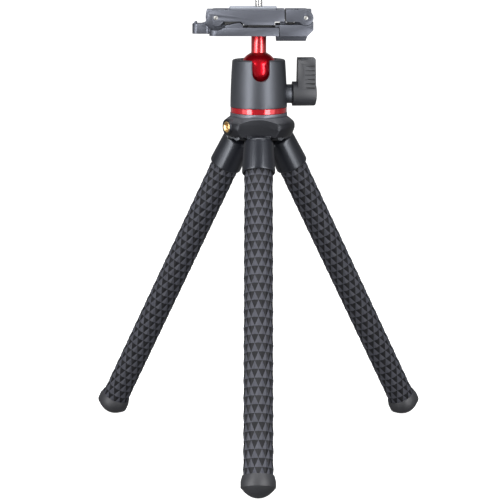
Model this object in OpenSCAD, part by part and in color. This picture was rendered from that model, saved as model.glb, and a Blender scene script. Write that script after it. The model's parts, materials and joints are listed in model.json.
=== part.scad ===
// Flexible leg tripod with a ball head and a folding phone clamp.
// The origin is on the floor under the column, +Z is up and leg 1 points to -Y.

/* [Legs] */
// Angle of each leg from the vertical as the tripod stands
leg_splay = 28; // [20:1:30]
// Angle from the vertical at which a leg is spread fully
leg_spread_max = 33; // [31:1:62]
// Distance of each leg hinge from the column axis
hinge_r = 16.5; // [15.5:0.1:17]
// Length of the leg collar below its hinge
collar_len = 32; // [30:0.5:45]
// Diameter of the collar at its upper end
collar_top_d = 24; // [23.5:0.1:25]
// Diameter of the collar at its mouth
collar_mouth_d = 24.6; // [24:0.1:26]
// Width of the collar's neck between the hub cheeks
neck_w = 18.6; // [16:0.1:19]
// Thickness of the collar's neck
neck_t = 10.8; // [9:0.1:11.2]
// Corner radius of the neck
neck_corner_r = 3; // [2:0.1:4]
// Length of the neck below the hinge
neck_len = 4.8; // [4.6:0.1:6]
// Radius of the collar's round shoulder below the neck
shoulder_r = 3.5; // [1:0.1:4]
// Diameter of the round knuckle on the hinge pin
knuckle_d = 12.8; // [11.5:0.1:13]
// Depth to which the sleeve reaches into the collar and the foot
sleeve_insert = 2; // [1:0.1:4]
// Diameter of the bendable core
core_d = 10; // [8:0.5:13]
// Diameter of the hinge pins
hinge_pin_d = 4; // [3:0.1:5]

/* [Sleeve studs] */
// Number of studs around the sleeve
stud_count = 12; // [10:1:16]
// Rows of studs on each stretch of the sleeve
stud_rows = 8; // [6:1:10]
// Height of one row of studs along the leg
stud_pitch = 6.95; // [5.5:0.05:7.5]
// Diameter of the sleeve in the valleys between the studs
sleeve_d = 20.1; // [20:0.1:20.8]
// Height of a stud's tip above the valleys
stud_h = 0.9; // [0.3:0.05:1]
// Length of the plain band at each bend
bend_gap = 6.95; // [6:0.05:8]
// Diameter of the round end of the core in a bend
bend_ball_d = 19.2; // [18:0.1:19.2]

/* [Feet] */
// Diameter of the foot's band
foot_d = 24.5; // [24:0.1:28]
// Diameter of the foot's lip round the sleeve
foot_lip_d = 22.8; // [22.6:0.1:23.6]
// Length of the flare from the lip to the band
foot_flare = 4.5; // [3:0.1:7]
// Length of the foot's straight band
foot_band = 5; // [4:0.1:8]
// Height of the foot's round end
foot_dome_h = 7.5; // [6.5:0.1:9.5]

/* [Hub] */
// Distance of the flat over each leg from the column axis
hub_flat_r = 24; // [23.5:0.1:24.2]
// Largest radius of the lobes between the legs
hub_lobe_r = 29.3; // [28.8:0.1:30]
// Radius of the bulge of the lobes
hub_bulge_r = 5; // [4:0.1:5.4]
// Slope of the shoulder above the lobes, from the upright
hub_shoulder_a = 52; // [48:1:54]
// Angle at which the lobes draw in below their bulge
hub_draw_a = 20; // [10:1:25]
// Radius of the upright edges between flats and lobes
hub_edge_r = 7; // [5:0.5:9]
// Height of the bulge's middle above the hinges
hub_bulge_z = 6.5; // [6.2:0.1:6.9]
// Height of the hub's top face above the hinges
hub_top_z = 13.8; // [13.5:0.1:14.2]
// Depth of the hub's bottom face below the hinges
hub_drop = 1.2; // [0.6:0.1:1.6]
// Thickness of the cheeks that hold the hinge pins
cheek_t = 5.6; // [4:0.1:6.5]
// Diameter of the cheeks round the hinge pins
cheek_d = 8; // [7:0.1:9]
// Depth of the step under the arch on each flat
arch_step = 0.7; // [0.3:0.1:1]
// Height of the arch above the hinges
arch_z = 6.6; // [6:0.1:7.5]
// Radius of the arch
arch_r = 56; // [40:1:80]
// Outside diameter of the accessory insert
insert_d = 9.6; // [8.4:0.1:10]
// Length of the accessory insert
insert_len = 9; // [7:0.5:10]
// Core diameter of the accessory thread
insert_bore_d = 5.16; // [4.2:0.01:6]
// Distance of the insert's face from the column axis
insert_face_r = 29.7; // [29.5:0.1:30.2]

/* [Ball head] */
// Turn of the head as photographed, about the column
head_yaw = 5; // [-30:1:30]
// Thickness of the pan base
pan_base_t = 3; // [2:0.1:5]
// Height of the accent ring
ring_h = 4.5; // [3:0.1:6]
// Diameter of the turning spigot on the pan base
spigot_d = 28; // [24:0.5:32]
// Height that the spigot stands above the accent ring
spigot_rise = 3; // [2:0.1:4]
// Diameter of the housing at its lower end
housing_base_d = 45.6; // [45:0.1:46]
// Diameter of the housing just under its rim
housing_top_d = 42.5; // [41.5:0.1:44]
// Bulge of the housing's side beyond a straight taper
housing_bulge = 0.3; // [0:0.05:0.8]
// Height of the housing
housing_h = 37.7; // [37:0.1:42]
// Radius of the housing's rim
rim_round = 1.5; // [0.5:0.1:2.5]
// Diameter of the bore that holds the ball seat
seat_bore_d = 33; // [32:0.1:34]
// Diameter of the ball
ball_d = 30; // [29:0.1:30.6]
// Depth of the ball's centre below the rim
ball_depth = 8.3; // [7.8:0.1:9]
// Diameter of the stem on the ball
stem_d = 12; // [11:0.1:12.6]
// Length of the stem from the ball's centre to the clamp
stem_len = 27.7; // [27:0.1:34]
// Width of the drop slot in the housing
slot_w = 13.8; // [13.2:0.1:16]
// Depth of the drop slot's round end below the rim
slot_depth = 16.3; // [16:0.1:18]

/* [Lock knob] */
// Height of the knob axis above the accent ring
knob_z = 10.1; // [9.9:0.1:10.4]
// Diameter of the collar that carries the knob
knob_collar_d = 15.2; // [14:0.1:16.4]
// Distance of the collar's outer face from the column axis
knob_collar_x = 26.7; // [26:0.1:30]
// Diameter of the knob's round part
knob_d = 19.6; // [18:0.1:20]
// Length of the knob
knob_len = 18.3; // [17:0.1:24]
// Height of the wing above the knob axis
wing_h = 29; // [27:0.1:32]
// Width of the wing along the knob axis
wing_w = 14.4; // [13:0.1:16]
// Thickness of the wing at the knob
wing_root_t = 18.4; // [16:0.1:18.8]
// Thickness of the wing at its tip
wing_tip_t = 9.5; // [7:0.5:11.5]
// Corner radius of the wing
wing_corner_r = 2.6; // [1:0.1:4]
// Number of grip grooves on the wing
groove_count = 6; // [3:1:7]
// Spacing of the grip grooves
groove_pitch = 3.4; // [2.6:0.1:3.5]
// Diameter of the knob's stud
stud_rod_d = 8; // [7:0.1:8.4]

/* [Phone clamp] */
// Depth of the clamp from front to back
clamp_depth = 36; // [34:1:44]
// Length of the clamp base to the left of the stem
base_left = 39; // [38:0.5:42]
// Length of the clamp base to the right of the stem
base_right = 16; // [14.5:0.5:16]
// Thickness of the clamp base
base_t = 6.6; // [6.2:0.1:7]
// Plan radius of the base's left corners
base_corner_r = 6; // [3:0.5:7]
// Height of the arm pins above the clamp base's underside
arm_pin_z = 14.3; // [14.1:0.1:14.6]
// Distance of the long arm's pin to the left of the stem
long_pin_x = 33.7; // [33:0.1:34]
// Distance of the short arm's pin to the right of the stem
short_pin_x = 37; // [36.8:0.1:38]
// Diameter of the arm pins
arm_pin_d = 3.3; // [2.5:0.1:3.8]
// Height of the arms' top face above their pins
arm_top = 6; // [5.8:0.1:6.4]
// Depth of the long arm's underside below its pin
long_arm_drop = 5.7; // [5.4:0.1:5.8]
// Depth of the short arm's underside below its pin
short_arm_drop = 3.2; // [2.6:0.1:3.6]
// Radius of the long arm's knuckle
long_knuckle_r = 6.6; // [6.2:0.1:6.9]
// Distance of the long arm's free end to the right of the stem
long_arm_end = 20.3; // [19.5:0.1:20.6]
// Gap between the ends of the two arms
arm_gap = 1; // [0.6:0.1:1.5]
// Width of the lugs between the cheeks of the arms
lug_w = 18; // [14:0.5:20]
// Height of the slide block
slide_h = 8.8; // [8.6:0.1:9]
// Travel of the slide
slide_travel = 30; // [20:1:32]
// Diameter of the slide's guide rods
rod_d = 3.2; // [2.4:0.1:3.4]
// Height of the slide's pull lip
lip_h = 3.9; // [3:0.1:4.4]
// Length of the thumb tab
tab_len = 13.6; // [12:0.1:16]
// Width of the thumb tab
tab_w = 22; // [16:0.5:26]
// Height of the thumb tab
tab_h = 7.6; // [6:0.1:8]

/* [Camera plate] */
// Diameter of the camera screw
screw_d = 6.35; // [6:0.01:6.6]
// Length of the camera screw above the pad
screw_rise = 7; // [4:0.1:9]
// Diameter of the camera screw's neck in the long arm
screw_neck_d = 5; // [4.5:0.05:5.1]
// Diameter of the camera screw's head
screw_head_d = 13; // [11:0.5:15]
// Height of the camera screw's head
screw_head_h = 3; // [2:0.1:4]
// Thickness of the top pad
pad_t = 1.9; // [1:0.1:3]
// Length of the top pad to the left of the screw
pad_left = 23.4; // [18:0.1:23.4]
// Length of the top pad to the right of the screw
pad_right = 14.2; // [10:0.1:18]
// Thickness of the rubber grips
grip_t = 2.4; // [1.6:0.1:2.5]

/* [Fits] */
// Radial play of pins, rods and other turning or sliding fits
run_fit = 0.05; // [0.03:0.01:0.08]
// Space between moving pieces that don't touch
move_gap = 0.4; // [0.3:0.05:0.5]
// Space round pieces that are held still
seat_gap = 0.1; // [0.05:0.01:0.2]

/* [Hidden] */
$fn = 64;
LEGS = [1, 2, 3];
STRETCHES = [1, 2, 3, 4];

// Leg stations, measured down the leg from its hinge
sleeve_start = collar_len - sleeve_insert;
stretch_len = stud_rows * stud_pitch;
sleeve_end = sleeve_start + len(STRETCHES) * stretch_len + (len(STRETCHES) - 1) * bend_gap;
foot_start = sleeve_end - sleeve_insert;
foot_band_start = foot_start + foot_flare;
foot_band_end = foot_band_start + foot_band;
foot_tip = foot_band_end + foot_dome_h;
foot_step = 0.3;
foot_dome_r = (pow(foot_d / 2 - foot_step, 2) + pow(foot_dome_h, 2)) / (2 * foot_dome_h);
foot_dome_s = foot_tip - foot_dome_r;
core_socket_s = neck_len + 7;
core_foot_s = foot_band_end;
function stretch_top(k) = sleeve_start + (k - 1) * (stretch_len + bend_gap);
function bend_s(k) = stretch_top(k) + stretch_len + bend_gap / 2;

// Sleeve radii and columns of stud corners
sleeve_columns = 2 * stud_count;
stud_tip_r = sleeve_d / 2 + stud_h;
sleeve_room_r = stud_tip_r + move_gap;
cup_gap = 0.3;
cup_r = bend_ball_d / 2 + cup_gap;

// Heights of the stack
hinge_z = foot_dome_s * cos(leg_splay) + foot_dome_r;
hub_top = hinge_z + hub_top_z;
ring_z = hub_top + pan_base_t;
housing_z = ring_z + ring_h;
housing_gap = 0.1;
spigot_top = housing_z + spigot_rise;
floor_top = spigot_top + 2.7;
rim_z = housing_z + housing_h;
ball_z = rim_z - ball_depth;
knob_axis_z = housing_z + knob_z;
clamp_z = ball_z + stem_len;
arm_z = clamp_z + arm_pin_z;
arm_top_z = arm_z + arm_top;
pad_top_z = arm_top_z + pad_t;

// Hub details
pin_room = 0.3;
pin_show = 0.6;
slot_half = neck_w / 2 + move_gap;
pin_half = slot_half + cheek_t + pin_show;
neck_half = neck_t / 2 + move_gap;
leg_reach = 40;

// Directions, as Y and Z, along a fully spread leg and square to it
leg_out = [-sin(leg_spread_max), -cos(leg_spread_max)];
leg_up = [-cos(leg_spread_max), sin(leg_spread_max)];

// Head details
pan_base_d = housing_base_d + 0.2;
ring_d = housing_base_d - 0.4;
ball_gap = 0.25;
ball_room_r = ball_d / 2 + ball_gap;
seat_drop = 8;
seat_hole_d = 6;
rim_bevel = 2;
bolt_head_d = 18;
bolt_head_h = 2.4;
bolt_hex_d = 5;
bolt_hex_h = 1.5;
bolt_shank_d = 6;
bolt_shoulder_d = 10;
bolt_len_in_hub = 10;
stud_tip_x = bolt_head_d / 2 + 0.8;
knob_x = knob_collar_x + move_gap;
knob_end_x = knob_x + knob_len;
knob_wall = 3;
stud_end_x = knob_end_x - knob_wall;
cap_d = 15;
cap_h = 0.8;
groove_d = 1.8;
groove_first = wing_h - 7;
groove_len = 7.4;
groove_end_x = knob_end_x - 1.3;

// Clamp details
clamp_half = clamp_depth / 2;
cheek_y = lug_w / 2 + move_gap;
slide_x = base_right + 0.5;
short_knuckle_r = 5.9;
slide_end = short_pin_x + short_knuckle_r;
slide_corner = 4.7;
corner_swing_r = sqrt(pow(long_knuckle_r, 2) + pow(arm_top, 2));
seat_room = 1;
seat_cut_r = corner_swing_r + seat_room;
lug_left = 7.4;
lug_right = 7.2;
lug_bulge = 0.9;
tab_z = 1.4;
tab_top = tab_z + tab_h;
short_lug_left = 5.5;
short_lug_len = 10;
short_lug_swing_r = sqrt(pow(short_lug_left, 2) + pow(arm_top, 2)) + move_gap;
rod_gap = clamp_depth - 12;
rod_z = clamp_z + base_t / 2;
rod_engage = 7.6;
rod_left = base_right - slide_travel - rod_engage;
rod_in_slide = 10;
stem_screw_d = 5;
stem_screw_head_d = 9.5;
stem_screw_head_h = 3;
stem_screw_len = 12;
stem_screw_hex_d = 4.5;
stem_screw_sink = 0.3;
grip_left = 9.5;
grip_right = 11.5;
grip_half = clamp_half - 3;
pad_w = clamp_depth - 5;
arm_high = -short_arm_drop + 0.2;
recess_right = -14;
recess_step = 2.7;
notch_x = 12.5;
pad_hole_d = screw_d + 1;
screw_sink = 0.5;
grip_rise = 0.9;

// Colours as photographed
slate = [0.44, 0.45, 0.48];
housing_grey = [0.36, 0.37, 0.40];
hub_grey = [0.20, 0.21, 0.23];
collar_grey = [0.25, 0.26, 0.29];
rubber_grey = [0.36, 0.36, 0.38];
core_grey = [0.22, 0.22, 0.24];
foot_grey = [0.30, 0.30, 0.33];
pad_grey = [0.72, 0.74, 0.78];
red = [0.76, 0.04, 0.10];
steel = [0.80, 0.80, 0.82];
brass = [0.85, 0.68, 0.36];
black = [0.08, 0.08, 0.09];

// Places what is drawn round the column at one of the three legs
module at_leg(i) {
  rotate([0, 0, 120 * (i - 1)])
    translate([0, -hinge_r, hinge_z])
      children();
}

// Places what is drawn along -Z from the hinge, splayed as it stands
module along_leg(i) {
  at_leg(i)
    rotate([-leg_splay, 0, 0])
      children();
}

// Places what is drawn at the column, turned as the head is
module on_head() {
  rotate([0, 0, head_yaw])
    children();
}

// Extrudes a side view, drawn as Y and Z, along X
module extrude_x(width) {
  rotate([90, 0, 90])
    linear_extrude(width, center = true)
      children();
}

// Extrudes a front view, drawn as X and Z, along Y
module extrude_y(depth) {
  rotate([90, 0, 0])
    linear_extrude(depth, center = true)
      children();
}

// A rod along X from x0 to x1
module rod_x(x0, x1, d) {
  translate([x0, 0, 0])
    rotate([0, 90, 0])
      cylinder(d = d, h = x1 - x0);
}

// A rod along Y, centred
module rod_y(length, d) {
  rotate([90, 0, 0])
    cylinder(d = d, h = length, center = true);
}

// A rectangle with round corners, from its corners
module round_box_2d(x0, y0, x1, y1, r) {
  translate([x0 + r, y0])
    square([x1 - x0 - 2 * r, y1 - y0]);
  translate([x0, y0 + r])
    square([x1 - x0, y1 - y0 - 2 * r]);
  for (x = [x0 + r, x1 - r])
    for (y = [y0 + r, y1 - r])
      translate([x, y])
        circle(r);
}

// Points of an arc about a centre, from angle a0 to a1
function arc(centre, r, a0, a1, steps) = [
  for (n = [0 : steps])
    let (a = a0 + (a1 - a0) * n / steps)
      centre + r * [cos(a), sin(a)]
];

// Points turned about the origin
function turned(points, a) = [
  for (p = points)
    [p.x * cos(a) - p.y * sin(a), p.x * sin(a) + p.y * cos(a)]
];

// Outline of the hub from above: three flats with round edges, open at the lobes
module hub_outline() {
  reach = hub_lobe_r + 4;
  edge_y = hub_flat_r - hub_edge_r;
  edge_x = sqrt(pow(hub_lobe_r - hub_edge_r, 2) - pow(edge_y, 2));
  edge_a = atan2(-edge_y, edge_x);
  right = arc([edge_x, -edge_y], hub_edge_r, -90, edge_a, 5);
  half = concat(right, [reach * [cos(edge_a), sin(edge_a)]]);
  side = concat([for (n = [len(half) - 1 : -1 : 0]) [-half[n].x, half[n].y]], half);
  polygon([for (i = LEGS) each turned(side, 120 * i)]);
}

// Half section of the hub: a sloped shoulder, a round bulge and a side that draws in below
module hub_section() {
  bulge = [hub_lobe_r - hub_bulge_r, hub_bulge_z];
  upper = bulge + hub_bulge_r * [cos(hub_shoulder_a), sin(hub_shoulder_a)];
  lower = bulge + hub_bulge_r * [cos(hub_draw_a), -sin(hub_draw_a)];
  polygon(concat(
    [[0, -hub_drop], [lower.x - (lower.y + hub_drop) * tan(hub_draw_a), -hub_drop]],
    arc(bulge, hub_bulge_r, -hub_draw_a, hub_shoulder_a, 8),
    [[upper.x - (hub_top_z - upper.y) * tan(hub_shoulder_a), hub_top_z], [0, hub_top_z]]
  ));
}

// Side view of the room that a leg's neck needs to swing from folded to fully spread
module neck_swing_room() {
  circle(d = knuckle_d + 2 * move_gap);
  polygon([
    [neck_half, 0],
    [neck_half, -leg_reach],
    [-leg_reach, -leg_reach],
    neck_half * leg_up + leg_reach * leg_out,
    neck_half * leg_up
  ]);
}

// Side view of the room in front of a collar's shoulder at full spread
module shoulder_room() {
  start = (neck_len - move_gap) * leg_out;
  polygon([
    start - leg_reach / 2 * leg_up,
    start + leg_reach * leg_up,
    start + leg_reach * leg_up + leg_reach * leg_out,
    start - leg_reach / 2 * leg_up + leg_reach * leg_out
  ]);
}

// Room that one leg needs in the hub, with a round-cornered notch through the front wall
module leg_room() {
  wall_y = -knuckle_d / 2 - move_gap;
  along = (wall_y - neck_half * leg_up.x) / leg_out.x;
  notch_top = neck_half * leg_up.y + along * leg_out.y;
  intersection() {
    extrude_x(2 * slot_half)
      neck_swing_room();
    union() {
      translate([-hub_lobe_r, wall_y, -leg_reach])
        cube([2 * hub_lobe_r, leg_reach, 2 * leg_reach]);
      translate([0, wall_y, 0])
        extrude_y(leg_reach)
          round_box_2d(-slot_half, -leg_reach, slot_half, notch_top, neck_corner_r);
    }
  }
  extrude_x(collar_mouth_d + 2 * move_gap)
    shoulder_room();
}

// Places what is drawn along X at the accessory insert on the left-front lobe
module at_insert() {
  translate([0, 0, hinge_z + hub_bulge_z])
    rotate([0, 0, 210])
      children();
}

// Hub that carries the legs
module hub_body() {
  boss_d = insert_d + 3;
  boss_back = insert_face_r - insert_len - 1;
  color(hub_grey)
    difference() {
      union() {
        translate([0, 0, hinge_z])
          intersection() {
            rotate_extrude()
              hub_section();
            translate([0, 0, -hub_drop - 1])
              linear_extrude(hub_top_z + hub_drop + 2)
                hub_outline();
          }
        for (i = LEGS)
          at_leg(i)
            rod_x(-slot_half - cheek_t, slot_half + cheek_t, cheek_d);
        at_insert()
          rod_x(boss_back, insert_face_r, boss_d);
      }
      for (i = LEGS)
        at_leg(i) {
          leg_room();
          rod_x(-pin_half - pin_room, pin_half + pin_room, hinge_pin_d + 2 * run_fit);
          translate([0, hinge_r - hub_flat_r + arch_step, arch_z - arch_r])
            rotate([90, 0, 0])
              cylinder(r = arch_r, h = hub_lobe_r);
        }
      at_insert()
        rod_x(insert_face_r - insert_len, insert_face_r + 5, insert_d + 2 * run_fit);
      translate([0, 0, hub_top - bolt_len_in_hub])
        cylinder(d = bolt_shank_d + 2 * run_fit, h = bolt_len_in_hub + 1);
    }
}

// Threaded brass insert for accessories
module accessory_insert() {
  color(brass)
    at_insert()
      difference() {
        rod_x(insert_face_r - insert_len, insert_face_r, insert_d);
        rod_x(insert_face_r - insert_len + 1.5, insert_face_r + 1, insert_bore_d);
      }
}

// Hinge pin of one leg
module leg_pin(i) {
  color(steel)
    at_leg(i)
      rod_x(-pin_half, pin_half, hinge_pin_d);
}

// Bolt that ties the head and the pan base to the hub
module head_bolt() {
  head_z = floor_top + housing_gap;
  color(steel)
    difference() {
      union() {
        translate([0, 0, head_z])
          cylinder(d = bolt_head_d, h = bolt_head_h);
        translate([0, 0, spigot_top])
          cylinder(d = bolt_shoulder_d, h = head_z - spigot_top);
        translate([0, 0, hub_top - bolt_len_in_hub])
          cylinder(d = bolt_shank_d, h = spigot_top - hub_top + bolt_len_in_hub);
      }
      translate([0, 0, head_z + bolt_head_h - bolt_hex_h])
        cylinder(d = bolt_hex_d, h = bolt_hex_h + 1, $fn = 6);
    }
}

// Disc on the hub with the spigot that the head turns on
module pan_base() {
  color(housing_grey)
    difference() {
      union() {
        translate([0, 0, hub_top])
          cylinder(d = pan_base_d, h = pan_base_t);
        translate([0, 0, hub_top])
          cylinder(d = spigot_d, h = spigot_top - hub_top);
      }
      translate([0, 0, hub_top - 1])
        cylinder(d = bolt_shank_d + 2 * run_fit, h = spigot_top - hub_top + 2);
    }
}

// Polished ring round the spigot
module accent_ring() {
  edge = 0.4;
  color(red)
    translate([0, 0, ring_z])
      rotate_extrude()
        polygon([
          [spigot_d / 2 + run_fit, 0],
          [ring_d / 2 - edge, 0],
          [ring_d / 2, edge],
          [ring_d / 2, ring_h - edge],
          [ring_d / 2 - edge, ring_h],
          [spigot_d / 2 + run_fit, ring_h]
        ]);
}

// Half section of the housing's outside, with a slight bulge and a round rim
module housing_section() {
  steps = 8;
  side_h = housing_h - rim_round;
  slope = (housing_top_d - housing_base_d) / 2;
  side = [
    for (n = [0 : steps])
      let (t = n / steps)
        [
          housing_base_d / 2 + slope * t + 4 * housing_bulge * t * (1 - t),
          housing_gap + (side_h - housing_gap) * t
        ]
  ];
  polygon(concat([[0, housing_gap]], side, [[housing_top_d / 2 - rim_round, side_h], [0, side_h]]));
  translate([housing_top_d / 2 - rim_round, side_h])
    circle(rim_round);
  translate([0, side_h - 1])
    square([housing_top_d / 2 - rim_round, rim_round + 1]);
}

// Housing that clamps the ball, with the drop slot at its front
module head_housing() {
  slot_r = slot_w / 2;
  slot_z = rim_z - slot_depth + slot_r;
  rim_open_r = sqrt(pow(ball_room_r, 2) - pow(ball_depth, 2));
  color(housing_grey)
    on_head()
      difference() {
        translate([0, 0, housing_z])
          rotate_extrude()
            housing_section();
        translate([0, 0, housing_z - 1])
          cylinder(d = spigot_d + 2 * run_fit, h = spigot_rise + housing_gap + 1);
        translate([0, 0, housing_z])
          cylinder(d = bolt_shoulder_d + 2 * run_fit, h = housing_h);
        translate([0, 0, floor_top])
          cylinder(d = seat_bore_d, h = ball_z - floor_top);
        translate([0, 0, ball_z])
          sphere(ball_room_r);
        translate([0, 0, rim_z - rim_bevel])
          cylinder(r1 = rim_open_r, r2 = rim_open_r + 1.2 * rim_bevel, h = 1.2 * rim_bevel);
        translate([0, 0, slot_z])
          rotate([90, 0, 0])
            cylinder(r = slot_r, h = housing_base_d);
        translate([-slot_r, -housing_base_d, slot_z])
          cube([slot_w, housing_base_d, housing_h]);
        translate([0, 0, knob_axis_z])
          rod_x(0, housing_base_d, knob_collar_d + 2 * run_fit);
      }
}

// Seat that presses on the ball from below
module ball_seat() {
  seat_top = ball_z - seat_drop;
  seat_bottom = knob_axis_z + stud_rod_d / 2 + move_gap;
  color(black)
    on_head()
      difference() {
        translate([0, 0, seat_bottom])
          cylinder(d = seat_bore_d - 2 * seat_gap, h = seat_top - seat_bottom);
        translate([0, 0, ball_z])
          sphere(ball_room_r);
        translate([0, 0, seat_bottom - 1])
          cylinder(d = seat_hole_d, h = seat_top - seat_bottom);
      }
}

// Bush in the housing that the knob's stud runs in
module knob_collar() {
  inner_x = seat_bore_d / 2 + 1;
  color(housing_grey)
    on_head()
      translate([0, 0, knob_axis_z])
        difference() {
          rod_x(inner_x, knob_collar_x, knob_collar_d);
          rod_x(inner_x - 1, knob_collar_x + 1, stud_rod_d + 2 * run_fit);
        }
}

// Side view of the wing as Y and Z from the knob axis, with a rounded tip
module wing_outline() {
  root = wing_root_t / 2;
  tip = wing_tip_t / 2;
  round_r = 0.6 * tip;
  polygon(concat(
    [[-root, 0], [root, 0]],
    arc([tip - round_r, wing_h - round_r], round_r, 0, 90, 4),
    arc([round_r - tip, wing_h - round_r], round_r, 90, 180, 4)
  ));
}

// Lock knob with its wing and grip grooves
module lock_knob() {
  margin = 0.3;
  color(slate)
    on_head()
      translate([0, 0, knob_axis_z])
        difference() {
          union() {
            intersection() {
              union() {
                rod_x(knob_x, knob_end_x + 1, knob_d);
                translate([knob_end_x + 1 - (wing_w + 1) / 2, 0, 0])
                  extrude_x(wing_w + 1)
                    wing_outline();
              }
              extrude_y(2 * knob_d)
                round_box_2d(0, -knob_d / 2 - margin, knob_end_x, wing_h + margin, wing_corner_r);
            }
            translate([knob_end_x - cap_h, 0, 0])
              rotate([0, 90, 0])
                cylinder(d1 = cap_d + 2 * cap_h, d2 = cap_d - 2 * cap_h, h = 2 * cap_h);
          }
          for (side = [-1, 1])
            for (n = [0 : groove_count - 1])
              let (z = groove_first - n * groove_pitch)
                let (y = wing_root_t / 2 + (wing_tip_t - wing_root_t) / 2 * z / wing_h)
                  translate([0, side * (y + groove_d / 4), z])
                    rod_x(groove_end_x - groove_len, groove_end_x, groove_d);
          rod_x(knob_x - 1, stud_end_x, stud_rod_d + 2 * run_fit);
        }
}

// Stud of the lock knob
module knob_stud() {
  color(steel)
    on_head()
      translate([0, 0, knob_axis_z])
        rod_x(stud_tip_x, stud_end_x, stud_rod_d);
}

// Ball with its stem
module ball_stem() {
  color(red)
    difference() {
      union() {
        translate([0, 0, ball_z])
          sphere(d = ball_d);
        translate([0, 0, ball_z])
          cylinder(d = stem_d, h = stem_len);
      }
      translate([0, 0, clamp_z - stem_screw_len])
        cylinder(d = stem_screw_d + 2 * run_fit, h = stem_screw_len + 1);
    }
}

// Screw that holds the clamp on the stem
module stem_screw() {
  head_z = clamp_z + base_t - stem_screw_head_h;
  color(steel)
    difference() {
      union() {
        translate([0, 0, clamp_z - stem_screw_len])
          cylinder(d = stem_screw_d, h = stem_screw_len + base_t - stem_screw_head_h);
        translate([0, 0, head_z])
          cylinder(d = stem_screw_head_d, h = stem_screw_head_h - stem_screw_sink);
      }
      translate([0, 0, head_z + stem_screw_head_h / 4])
        cylinder(d = stem_screw_hex_d, h = stem_screw_head_h, $fn = 6);
    }
}

// Plan of the thumb tab: a round tongue with concave corners to the base
module tab_plan() {
  x0 = -base_left - tab_len;
  corner = 4.5;
  fillet = 3;
  difference() {
    union() {
      round_box_2d(x0, -tab_w / 2, -base_left + 8, tab_w / 2, corner);
      translate([-base_left - fillet, -tab_w / 2 - fillet])
        square([fillet + 6, tab_w + 2 * fillet]);
    }
    for (side = [-1, 1])
      translate([-base_left - fillet, side * (tab_w / 2 + fillet)])
        circle(fillet);
  }
}

// Side outline of the lug in the long arm, as X and Z from the arm's pin, bulging at its left
module lug_outline() {
  bulge_r = (pow(arm_top, 2) + pow(lug_bulge, 2)) / (2 * lug_bulge);
  bulge_a = asin(arm_top / bulge_r);
  foot = base_t - arm_pin_z - 1;
  polygon(concat(
    arc([bulge_r - lug_left - lug_bulge, 0], bulge_r, 180 - bulge_a, 180 + bulge_a, 6),
    [[-lug_left, foot], [lug_right, foot], [lug_right, arm_top]]
  ));
}

// Side outline, as X and Z from the clamp's underside, of the curved rise from the tab to the lug
module tab_rise_outline() {
  rise_x = -base_left - 0.6 * tab_len;
  rise_r = 9.2;
  rise_a = 42;
  end = [rise_x, tab_top] + rise_r * [sin(rise_a), 1 - cos(rise_a)];
  polygon(concat(
    arc([rise_x, tab_top + rise_r], rise_r, -90, rise_a - 90, 5),
    [[-long_pin_x - lug_left + 1, end.y], [-long_pin_x - lug_left + 1, tab_z + 1], [rise_x, tab_z + 1]]
  ));
}

// Side outline, as X and Z from the clamp's underside, of the wedge in the long arm's recess
module wedge_outline() {
  left = -long_pin_x + lug_right;
  right = recess_right - 0.6;
  top = arm_pin_z + arm_high - 2 * move_gap;
  foot = base_t - 1;
  slope = 0.8 * recess_step;
  polygon([
    [left, foot],
    [left, base_t + 1.6],
    [right, top],
    [right + slope, top - slope],
    [right + slope, foot]
  ]);
}

// Base of the phone clamp, with its lug, the wedge under the long arm and the thumb tab
module clamp_base() {
  ridge_r = 1.2;
  ridge_len = tab_w - 9;
  wedge_in = 1;
  color(slate)
    difference() {
      union() {
        translate([0, 0, clamp_z])
          linear_extrude(base_t)
            union() {
              round_box_2d(-base_left, -clamp_half, 0, clamp_half, base_corner_r);
              translate([-base_left / 2, -clamp_half])
                square([base_left / 2 + base_right, clamp_depth]);
            }
        translate([0, 0, clamp_z + tab_z])
          linear_extrude(tab_h)
            tab_plan();
        translate([-base_left - tab_len + 2 * ridge_r, 0, clamp_z + tab_top + ridge_r / 2])
          rod_y(ridge_len, 2 * ridge_r);
        translate([0, 0, clamp_z])
          extrude_y(lug_w)
            tab_rise_outline();
        translate([-long_pin_x, 0, arm_z])
          extrude_y(lug_w)
            lug_outline();
        translate([0, 0, clamp_z])
          extrude_y(clamp_depth - 2 * wedge_in)
            wedge_outline();
      }
      translate([-long_pin_x, 0, arm_z])
        difference() {
          rod_y(clamp_depth + 2, 2 * seat_cut_r);
          cube([4 * seat_cut_r, lug_w, 4 * seat_cut_r], center = true);
        }
      translate([-long_pin_x, 0, arm_z])
        rod_y(clamp_depth, arm_pin_d + 2 * run_fit);
      for (side = [-1, 1])
        translate([0, side * rod_gap / 2, rod_z])
          rod_x(rod_left - 1, base_right + 1, rod_d + 2 * run_fit);
      translate([0, 0, clamp_z - 1])
        cylinder(d = stem_screw_d + 2 * run_fit, h = base_t + 2);
      translate([0, 0, clamp_z + base_t - stem_screw_head_h])
        cylinder(d = stem_screw_head_d + 2 * seat_gap, h = stem_screw_head_h + 1);
    }
}

// Side outline of the long arm as X and Z from its pin
module long_arm_outline() {
  right = long_pin_x + long_arm_end;
  corner_r = 5;
  low = -long_arm_drop;
  knuckle_a = asin(arm_high / long_knuckle_r);
  polygon(concat(
    arc([corner_r - long_knuckle_r, arm_top - corner_r], corner_r, 90, 180, 6),
    arc([0, 0], long_knuckle_r, 180, 360 + knuckle_a, 16),
    [
      [long_pin_x + recess_right, arm_high],
      [long_pin_x + recess_right + recess_step, low],
      [long_pin_x + notch_x, low],
      [long_pin_x + notch_x, arm_high],
      [right, arm_high],
      [right, arm_top]
    ]
  ));
}

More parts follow.
